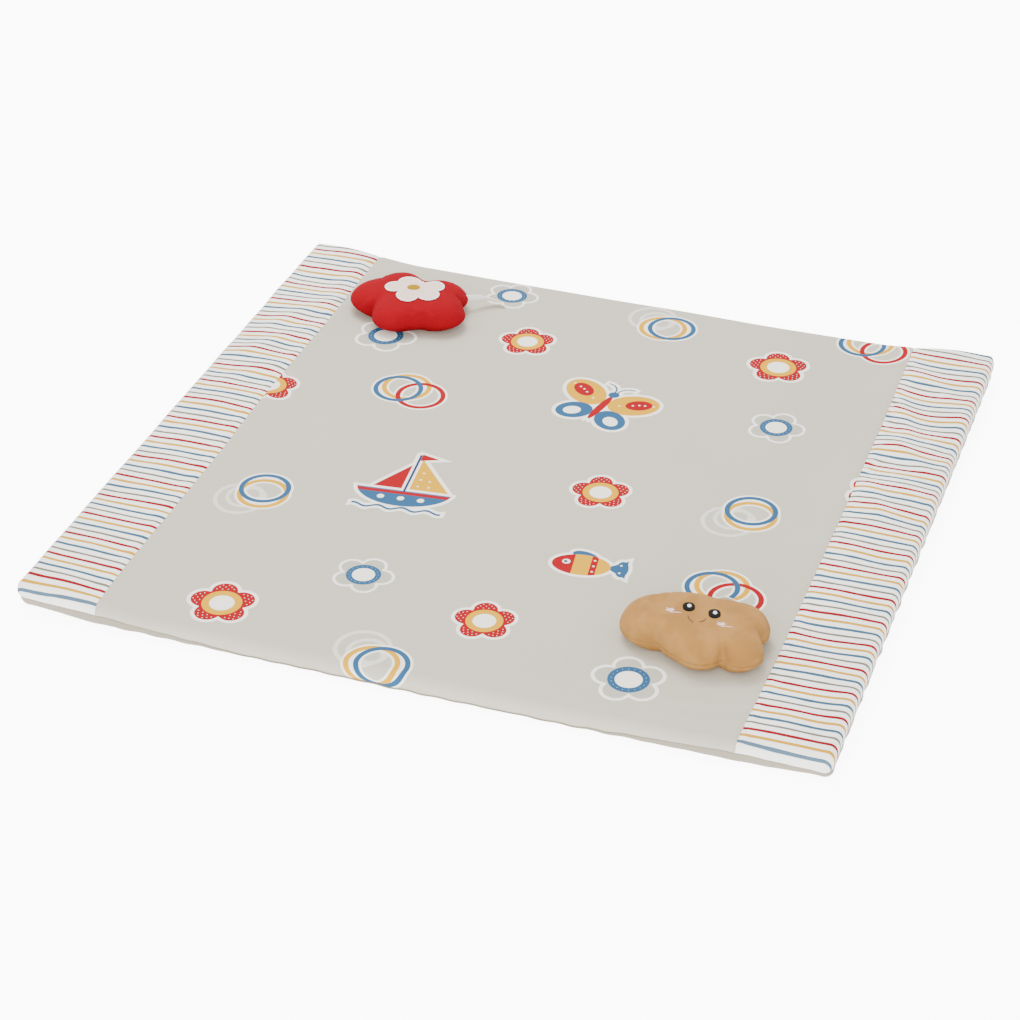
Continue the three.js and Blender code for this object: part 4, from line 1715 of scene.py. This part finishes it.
@dataclass(frozen=True)
class Patch:
    """A lobed or oval piece of cloth or stitching that lies on a toy's crown."""

    name: str
    lobes: tuple[Lobe, ...]
    x: float
    y: float
    thickness: float
    crown: float
    lift: float
    sharpness: float = 16.0
    sectors: int = 96
    rings: int = 12

    def outline(self, toy: ToyForm, shrink: float = 0.0) -> Array:
        """The patch's outline as plan points on the mat.

        Args:
            toy: The toy's form.
            shrink: How far inside the real outline it runs.

        Returns:
            The points, n by 2.
        """
        angle = np.linspace(0, 2 * math.pi, self.sectors, endpoint=False)
        reach = lobed_reach(self.lobes, self.sharpness, angle) - shrink
        return self.placed(toy, reach * np.cos(angle), reach * np.sin(angle))

    def placed(self, toy: ToyForm, x: Array, y: Array) -> Array:
        """Points of the patch's own plan, on the mat."""
        return np.stack(turned(x + self.x, y + self.y, math.radians(toy.turn), (toy.x, toy.y)), -1)

    def surface(self, toy: ToyForm, ground: Crown) -> Surface:
        """Works out the patch: an upper and a lower face that follow the crown, closed at the rim.

        The upper face stands over the lower one by the thickness, and by the crown times
        root(1 - share to the fourth), so that stitching is plump and rounds off at its edge.

        Args:
            toy: The toy's form.
            ground: The toy's crown.

        Returns:
            The closed surface, with its plan as cloth coordinates.
        """
        angle = np.linspace(0, 2 * math.pi, self.sectors, endpoint=False)
        reach = lobed_reach(self.lobes, self.sharpness, angle)
        share = np.linspace(1, 0, self.rings + 1)[:-1][:, None]
        x, y = share * reach * np.cos(angle), share * reach * np.sin(angle)
        plan = self.placed(toy, x, y)
        base = ground.height(plan[..., 0], plan[..., 1]) + self.lift
        rise = self.thickness + self.crown * np.sqrt(1 - share**4)
        middle = self.placed(toy, np.zeros(1), np.zeros(1))
        floor = ground.height(middle[:, 0], middle[:, 1])[0] + self.lift
        top = np.concatenate([plan, (base + rise)[..., None]], -1).reshape(-1, 3)
        low = np.concatenate([plan, base[..., None]], -1).reshape(-1, 3)
        ends = np.array([[*middle[0], floor + self.thickness + self.crown], [*middle[0], floor]])
        count = self.rings * self.sectors
        upper = np.arange(count).reshape(self.rings, self.sectors)
        lower = upper + count
        faces = [*lens_faces(upper, lower, 2 * count), bands(lower[0], upper[0])]
        own = np.column_stack([x.ravel(), y.ravel()])
        return Surface(np.concatenate([top, low, ends]), faces, np.concatenate([own, own, np.zeros((2, 2))]))


@dataclass(frozen=True)
class Ribbon:
    """A ribbon that runs through stations and leans over from standing on edge to lying flat."""

    name: str
    node: str
    stations: tuple[tuple[float, float, float, float], ...]
    width: float = 10.4
    thickness: float = 0.7
    steps: int = 90
    ripple: Waves = Waves(31, 14, 34, 5)
    ripple_height: float = 0.5
    curl: float = 0.35

    def surface(self, toy: ToyForm, form: MatForm) -> tuple[Surface, float]:
        """Works out the ribbon.

        Args:
            toy: The toy that it is sewn into, whose plan the stations are in.
            form: The mat's form.

        Returns:
            The closed surface, and the ribbon's length in millimetres.
        """
        table = spline(np.array(self.stations, float), self.steps)
        path = toy.on_mat(table[:, :3], form)
        along, side = track(path, closed=False)
        up = np.cross(side, along)
        lean = np.radians(table[:, 3:])
        across = up * np.cos(lean) + side * np.sin(lean)
        out = np.cross(across, along)
        ripple = self.ripple_height * self.ripple.at(table[:, 0], table[:, 1])
        path = path + out * ripple[:, None]
        half, thin = self.width / 2, self.thickness / 2
        columns = np.linspace(-half, half, 9)
        curl = self.curl * (columns / half) ** 2
        section = np.concatenate([np.column_stack([columns, curl + thin]),
                                  np.column_stack([columns, curl - thin])[::-1]])
        run = float(np.linalg.norm(np.diff(path, axis=0), axis=1).sum())
        return sweep(path, across, out, section, closed=False), run


@dataclass(frozen=True)
class Thread:
    """A few embroidered strokes on a toy's crown, as a thin cord of thread."""

    name: str
    strokes: tuple[tuple[tuple[float, float], ...], ...]
    width: float = 1.3
    thickness: float = 0.9
    steps: int = 26
    sunk: float = 0.25

    def surface(self, ground: Crown) -> Surface:
        """Works out all the strokes as one surface that lies on the crown.

        Args:
            ground: The toy's crown.

        Returns:
            The surface of every stroke, each closed at its ends.
        """
        blocks, faces, cloth, first = [], [], [], 0
        for stroke in self.strokes:
            plan = spline(np.array(stroke, float), self.steps)
            height = ground.height(plan[:, 0], plan[:, 1]) + self.sunk * self.thickness
            path = np.column_stack([plan, height])
            along, side = track(path, closed=False)
            taper = np.sqrt(np.clip(1 - np.linspace(-1, 1, len(path)) ** 6, 0.05, 1))[:, None]
            made = sweep(path, side * taper, np.cross(side, along) * taper,
                         oval(self.width, self.thickness, 8), closed=False)
            blocks.append(made.points)
            cloth.append(made.cloth)
            faces += [block + first for block in made.faces]
            first += len(made.points)
        return Surface(np.concatenate(blocks), faces, np.concatenate(cloth))


def seat(piece: bpy.types.Object, material: bpy.types.Material, slot: str | None, *nodes: str) -> None:
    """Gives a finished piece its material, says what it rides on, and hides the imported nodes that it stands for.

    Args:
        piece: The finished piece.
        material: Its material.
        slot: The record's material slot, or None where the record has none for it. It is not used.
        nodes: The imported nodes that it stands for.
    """
    piece.data.materials.clear()
    piece.data.materials.append(material)
    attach(piece, BODY)
    if nodes:
        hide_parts(*nodes)
    log.info("%s: %d faces", piece.name, len(piece.data.polygons))


@dataclass
class Mat:
    """The padded mat: three top panels sewn to one backing."""

    form: MatForm
    groups: ClothGroups
    printed_cloth: Colour = srgb(184, 178, 162)
    striped_cloth: Colour = srgb(247, 246, 238)
    # The backing's colour is partly its own beige-grey and partly painted shade: darker for the shade it lies in
    # under the mat's edge.
    backing_cloth: Colour = srgb(152, 144, 129)

    def build(self) -> bpy.types.Object:
        """Builds and dresses every piece of the mat.

        Returns:
            The middle panel, which the toys lie on.
        """
        half_gap = self.form.seam_gap / 2
        edge = self.form.half_width
        printed = PrintedFinish("printed_cotton", self.printed_cloth, 0.7, 0.02, 0.06, 0.42, groups=self.groups)
        striped = StripedFinish("striped_cotton", self.striped_cloth, 0.8, 0.02, 0.07, 0.46)
        plain = WovenFinish("backing_cotton", self.backing_cloth, 0.85, 0.1, 0.1, 0.6)
        left, right = self.form.seam_left, self.form.seam_right
        centre = TopPanel("middle_panel", "centre_panel", "printed_cloth", left + half_gap, right - half_gap,
                          3.3, 0.5)
        sides = (
            (TopPanel("left_side_panel", "stripe_panel_left", "striped_cloth", -edge, left - half_gap, 2.6, 0.6),
             LEFT_RUN),
            (TopPanel("right_side_panel", "stripe_panel_right", "striped_cloth", right + half_gap, edge, 2.6, 0.6),
             RIGHT_RUN),
        )
        middle = self.make(centre, printed.material(self.groups))
        lay_print(middle, PRINT)
        stripe_material = striped.material(self.groups)
        for panel, run in sides:
            lay_stripes(self.make(panel, stripe_material), self.form, run)
        self.make(Backing(), plain.material(self.groups))
        return middle

    def make(self, part: TopPanel | Backing, material: bpy.types.Material) -> bpy.types.Object:
        """Makes one padded piece of the mat and dresses it.

        Args:
            part: The part of the mat.
            material: Its material.

        Returns:
            The piece.
        """
        piece = part.surface(self.form).piece(part.name)
        seat(piece, material, part.slot, part.node)
        return piece


@dataclass
class StuffedToy:
    """What both toys share: a stuffed cover, and a ribbon that is sewn into it."""

    mat: MatForm
    groups: ClothGroups
    form: ToyForm
    ribbon: Ribbon

    def cover(self, name: str, press: Callable[[Array], Array]) -> bpy.types.Object:
        """Stuffs the toy's cover and lays it on the mat.

        Args:
            name: The cover's name.
            press: What presses the seams or folds into points on the toy's own plan.

        Returns:
            The cover, with nothing below the level that it lies on.
        """
        made = self.form.start_surface().piece(name)
        Stuffing().fill(made)
        points = press(Stuffing.read(made.data))
        points[:, 2] = np.maximum(points[:, 2], 0)
        Stuffing.write(made.data, self.form.on_mat(points, self.mat))
        return made

    def lay_ribbon(self, material: bpy.types.Material, rests_on: str) -> None:
        """Args:
            material: The ribbon's material.
            rests_on: The name of the piece that it lies on. It is not used.
        """
        surface, run = self.ribbon.surface(self.form, self.mat)
        piece = surface.piece(self.ribbon.name)
        seat(piece, material, "ribbon", self.ribbon.node)
        self.ribbon.width * MM
        run * MM


@dataclass
class StuffedFlower(StuffedToy):
    """The red flower with its pale cloth, its yellow middle and its ribbon."""

    form: ToyForm = ToyForm(
        -300, 324,
        (Lobe(0, 0, 48), Lobe(-12, 42, 34), Lobe(-52, 12, 33.5), Lobe(-19, -38.5, 33), Lobe(47.5, -33.5, 34.5),
         Lobe(53.5, 15, 32.5), Lobe(15, -37, 27)),
        height=41, rim_height=17, dome_power=3.2, flat_reach=0.42, valley=0.09)
    ribbon: Ribbon = Ribbon("flower_ribbon", "flower_strap", (
        (78, 13.5, 18.5, 0), (94, 19.5, 16.5, 14), (103, 24, 13, 30), (114, 27, 9.5, 44),
        (125, 27.5, 6.2, 52), (134, 25, 4.4, 57)))
    cloth: Patch = Patch(
        "flower_pale_cloth",
        (Lobe(0, 0, 20), Lobe(-6.5, 15.6, 15), Lobe(-26.6, 3.4, 12.6), Lobe(-7.6, -20.4, 15),
         Lobe(20.4, -17.6, 15), Lobe(29.5, 6.4, 12.6)),
        7, -3.2, thickness=1.0, crown=0.8, lift=0.35)
    middle: Patch = Patch("flower_yellow_middle", (Lobe(-2, 0, 7), Lobe(2, 0, 7)), 7, -5.2,
                          thickness=0.4, crown=1.2, lift=1.9, sharpness=8, sectors=48, rings=8)
    crease_depth: float = 1.0
    crease_half_width: float = 3.6
    edge_width: float = 3.0
    edge_thickness: float = 2.0

    def creases(self, points: Array) -> Array:
        """Presses the folds that run from the notches between the petals towards the middle.

        Each fold is a bell across its line, and deepens with the share of the way to the notch.

        Args:
            points: The cover's points, on the toy's own plan.

        Returns:
            The moved points.
        """
        angle = np.linspace(0, 2 * math.pi, 720, endpoint=False)
        reach = self.form.reach(angle)
        notch = (reach < np.roll(reach, 1)) & (reach < np.roll(reach, -1))
        depth = np.zeros(len(points))
        for turn, far in zip(angle[notch], reach[notch]):
            along, across = turned(points[:, 0], points[:, 1], -turn)
            share = np.clip(along / far, 0, 1)
            depth += smooth(share, 0.45, 1.0) * bell(across, self.crease_half_width) * (along > 0)
        over = smooth(points[:, 2], self.form.rim_height * 0.6, self.form.rim_height * 1.3)
        made = points.copy()
        made[:, 2] -= self.crease_depth * depth * over
        return made

    def build(self, rests_on: str) -> None:
        """Builds and dresses the flower.

        Args:
            rests_on: The name of the piece that the ribbon lies on.
        """
        red = VelourFinish("red_velour", srgb(133, 0, 16), 0.9, 0.0, 0.3, 0.9,
                           leaning=srgb(138, 0, 20), lean_share=0.5)
        pale = VelourFinish("pale_fleece", srgb(224, 198, 184), 0.9, 0.02, 0.2, 1.1,
                            leaning=srgb(230, 206, 194), lean_share=0.6)
        white = StitchedFinish("white_satin_thread", srgb(250, 248, 245), 0.5, 0.1, 0.18, 0.7)
        yellow = StitchedFinish("yellow_satin_thread", srgb(160, 122, 0), 0.6, 0.0, 0.2, 0.8)
        tape = WovenFinish("ribbon_tape", srgb(254, 253, 251), 0.6, 0.05, 0.1, 0.5)
        cover = self.cover("flower_cover", self.creases)
        seat(cover, red.material(self.groups), "red_velour", "flower_body")
        ground = Crown(cover)
        sewn = self.cloth.surface(self.form, ground).piece(self.cloth.name)
        seat(sewn, pale.material(self.groups), "pale_cloth", "flower_applique")
        self.satin_edge(ground, white.material(self.groups))
        spot = self.middle.surface(self.form, ground).piece(self.middle.name)
        seat(spot, yellow.material(self.groups), "yellow_embroidery", "flower_centre")
        self.lay_ribbon(tape.material(self.groups), rests_on)

    def satin_edge(self, ground: Crown, material: bpy.types.Material) -> None:
        """Carries an oval of satin stitch round the pale cloth's edge.

        Args:
            ground: The flower's crown.
            material: The thread.
        """
        plan = self.cloth.outline(self.form, shrink=0.4)
        height = ground.height(plan[:, 0], plan[:, 1]) + self.cloth.lift + 0.75
        path = np.column_stack([plan, height])
        along, side = track(path, closed=True)
        edge = sweep(path, side, np.cross(side, along), oval(self.edge_width, self.edge_thickness, 10), closed=True)
        seat(edge.piece("flower_satin_edge"), material, "pale_cloth")


@dataclass
class StuffedCloud(StuffedToy):
    """The beige cloud with its stitched face and its ribbon."""

    form: ToyForm = ToyForm(
        300, -310,
        (Lobe(0, 4, 50), Lobe(-54, 25, 38.5), Lobe(-12, 27, 41), Lobe(24, 16, 38), Lobe(53, 11, 34.5),
         Lobe(51, -38.5, 26), Lobe(1, -28, 31), Lobe(-16, -6.5, 32)),
        height=43, rim_height=14, dome_power=7.0, flat_reach=0.6)
    ribbon: Ribbon = Ribbon("cloud_ribbon", "cloud_strap", (
        (10, 44, 10, 0), (20, 55.5, 18, 2), (31, 59.5, 25.5, 6), (43, 56, 26, 14), (54, 50.5, 21, 28),
        (63, 48, 12, 45), (71, 48, 4.6, 57)))
    seam_depth: float = 2.2
    seam_half_width: float = 1.7
    second_seam: float = 0.8
    second_drop: float = 6.0
    second_half_width: float = 1.5
    puckers: Waves = Waves(41, 6, 15, 6)
    eyes: tuple[tuple[float, float], ...] = ((284.2, -297.0), (316.0, -300.6))

    def seams(self, points: Array) -> Array:
        """Draws in the seam round the cloud and a second one under it, each a bell in height.

        Args:
            points: The cover's points, on the toy's own plan.

        Returns:
            The moved points.
        """
        level = points[:, 2] - self.form.rim_height
        groove = bell(level, self.seam_half_width)
        groove += self.second_seam * bell(level + self.second_drop, self.second_half_width)
        angle = np.arctan2(points[:, 1], points[:, 0])
        far = np.hypot(points[:, 0], points[:, 1])
        outer = smooth(far / self.form.reach(angle), 0.86, 0.97)
        pucker = 1 + 0.35 * self.puckers.at(points[:, 0], points[:, 1])
        inward = self.seam_depth * groove * outer * pucker
        made = points.copy()
        made[:, :2] *= (1 - inward / np.maximum(far, 1))[:, None]
        return made

    def build(self, rests_on: str) -> None:
        """Builds and dresses the cloud.

        Args:
            rests_on: The name of the piece that the ribbon lies on.
        """
        beige = VelourFinish("beige_velour", srgb(148, 106, 54), 0.9, 0.03, 0.3, 0.9,
                             leaning=srgb(168, 125, 70), lean_share=0.5)
        black = StitchedFinish("black_satin_thread", srgb(9, 6, 5), 0.55, 0.02, 0.18, 0.7)
        white = StitchedFinish("white_glint_thread", srgb(240, 238, 236), 0.5, 0.1, 0.15, 0.7)
        brown = StitchedFinish("brown_thread", srgb(96, 62, 34), 0.6, 0.1, 0.15, 0.6)
        pink = StitchedFinish("pink_thread", srgb(240, 200, 200), 0.6, 0.2, 0.15, 0.6)
        tape = WovenFinish("cloud_ribbon_tape", srgb(254, 253, 251), 0.6, 0.05, 0.1, 0.5)
        cover = self.cover("cloud_cover", self.seams)
        seat(cover, beige.material(self.groups), "beige_velour", "cloud_front", "cloud_back")
        ground = Crown(cover)
        self.face(ground, black.material(self.groups), white.material(self.groups),
                  brown.material(self.groups), pink.material(self.groups))
        self.lay_ribbon(tape.material(self.groups), rests_on)

    def face(self, ground: Crown, black: bpy.types.Material, white: bpy.types.Material,
             brown: bpy.types.Material, pink: bpy.types.Material) -> None:
        """Stitches two eyes with a glint, the ends of a smile, and two cheeks.

        Args:
            ground: The cloud's crown.
            black: The eyes' thread.
            white: The glints' thread.
            brown: The smile's thread.
            pink: The cheeks' thread.
        """
        flat = ToyForm(0, 0, (), 0, 0, 1, 0, turn=0)
        for name, (x, y) in zip(("left", "right"), self.eyes):
            eye = Patch(f"cloud_eye_{name}", (Lobe(0.7, -2.2, 6.9), Lobe(-0.7, 2.2, 6.9)), x, y, 0.3, 0.8, 0.1,
                        8, 48, 8)
            seat(eye.surface(flat, ground).piece(eye.name), black, None)
            glint = Patch(f"cloud_glint_{name}", (Lobe(0.3, -0.8, 2.3), Lobe(-0.3, 0.8, 2.3)), x + 0.4, y + 1.0,
                          0.3, 0.4, 1.1, 8, 32, 5)
            seat(glint.surface(flat, ground).piece(glint.name), white, None)
        smile = Thread("cloud_smile", (
            ((287.8, -314.0), (291.2, -320.0), (297.8, -325.4)),
            ((303.6, -322.4), (307.6, -318.8), (309.6, -312.8)),
        ), 1.2, 0.8)
        seat(smile.surface(ground).piece(smile.name), brown, None)
        for name, x, y in (("left", 265.0, -310.5), ("right", 328.2, -318.5)):
            zigzag = tuple((x + dx, y + dy) for dx, dy in (
                (-6, 4), (1, 1), (-4, -1), (3, 4.4), (-1, -2.4), (5, 2.6), (2, -3), (9, -1.6), (15, -1.0)))
            cheek = Thread(f"cloud_cheek_{name}", (zigzag,), 1.5, 0.8, 70)
            seat(cheek.surface(ground).piece(cheek.name), pink, None)


@dataclass(frozen=True)
class Studio:
    """The floor, the lights and the camera."""

    azimuth: float = 18.979
    elevation: float = 32.911
    roll: float = -0.360
    place: tuple[float, float, float] = (0.9384, -2.8369, 1.8959)
    lens: float = 97.28
    sensor: float = 36.0
    floor_half: float = 14.0
    floor_drop: float = 0.2
    floor_colour: Colour = srgb(250, 250, 250)
    world_strength: float = 1.74
    floor_glow: float = 1.6
    floor_seen: float = 6.5

    @staticmethod
    def hang(data: bpy.types.ID, axes: tuple[Array, Array, Array],
             place: tuple[float, float, float]) -> bpy.types.Object:
        """Puts a camera or a light in the scene.

        Args:
            data: The camera or the light.
            axes: Where its own x, y and z point.
            place: Where it hangs, in metres.

        Returns:
            The object.
        """
        made = bpy.data.objects.new(data.name, data)
        made.matrix_world = Matrix([*np.column_stack([*axes, place]).tolist(), [0, 0, 0, 1]])
        bpy.context.scene.collection.objects.link(made)
        return made

    def camera(self) -> None:
        """Sets the camera on its place, looking down by the elevation and turned by the roll."""
        a, e, r = (math.radians(v) for v in (self.azimuth, self.elevation, self.roll))
        back = np.array([math.sin(a) * math.cos(e), -math.cos(a) * math.cos(e), math.sin(e)])
        right = np.array([math.cos(a), math.sin(a), 0.0])
        down = np.cross(-back, right)
        level = math.cos(r) * right + math.sin(r) * down
        fall = -math.sin(r) * right + math.cos(r) * down
        data = bpy.data.cameras.new("camera")
        data.lens, data.sensor_width = self.lens, self.sensor
        data.clip_end = 100.0
        bpy.context.scene.camera = self.hang(data, (level, -fall, back), self.place)

    def light(self, name: str, place: tuple[float, float, float], size: float, power: float) -> None:
        """Hangs a soft square light at a place, aimed at the mat's middle.

        Args:
            name: The light's name.
            place: Where it hangs, in metres.
            size: Its side in metres.
            power: Its power in watts.
        """
        data = bpy.data.lights.new(name, "AREA")
        data.shape, data.size, data.energy = "SQUARE", size, power
        back = np.array(place) / np.linalg.norm(place)
        side = np.cross([0, 1, 0.001], back)
        side /= np.linalg.norm(side)
        self.hang(data, (side, np.cross(back, side), back), place)

    def floor(self) -> None:
        """Lays a plain pale floor. It lies a little under the mat, and looks brighter than it lights it."""
        half, low = self.floor_half / MM, -self.floor_drop
        corners = np.array([[-half, -half, low], [half, -half, low], [half, half, low], [-half, half, low]])
        made = Surface(corners, [np.array([[0, 1, 2, 3]])]).piece("studio_floor")
        material = bpy.data.materials.new("floor_paint")
        material.use_nodes = True
        sheet = NodeSheet(material.node_tree)
        seen = Signal(sheet, sheet.node("ShaderNodeLightPath").outputs["Is Camera Ray"])
        sheet.fill(material.node_tree.nodes["Principled BSDF"], {
            "Base Color": self.floor_colour, "Roughness": 0.9, "Emission Color": (1.0, 1.0, 1.0),
            "Emission Strength": seen * self.floor_seen + self.floor_glow})
        made.data.materials.append(material)

    def build(self) -> None:
        """Sets the whole studio."""
        self.camera()
        self.floor()
        world = bpy.data.worlds.new("studio")
        world.use_nodes = True
        world.node_tree.nodes["Background"].inputs[0].default_value = (1, 1, 1, 1)
        world.node_tree.nodes["Background"].inputs[1].default_value = self.world_strength
        bpy.context.scene.world = world
        self.light("high_softbox", (-1.1, 1.3, 3.2), 1.8, 150)
        self.light("front_softbox", (0.4, -3.4, 1.6), 2.2, 130)


def main() -> None:
    """Builds the studio, the mat and the two toys."""
    logging.basicConfig(level=logging.INFO, format="%(message)s")
    Studio().build()
    form = MatForm.from_frame()
    log.info("mat %.1f by %.1f mm, seams %.1f and %.1f", 2 * form.half_width, 2 * form.half_depth,
             form.seam_left, form.seam_right)
    groups = ClothGroups()
    middle = Mat(form, groups).build()
    StuffedFlower(form, groups).build(middle.name)
    StuffedCloud(form, groups).build(middle.name)


if __name__ == "__main__":
    main()
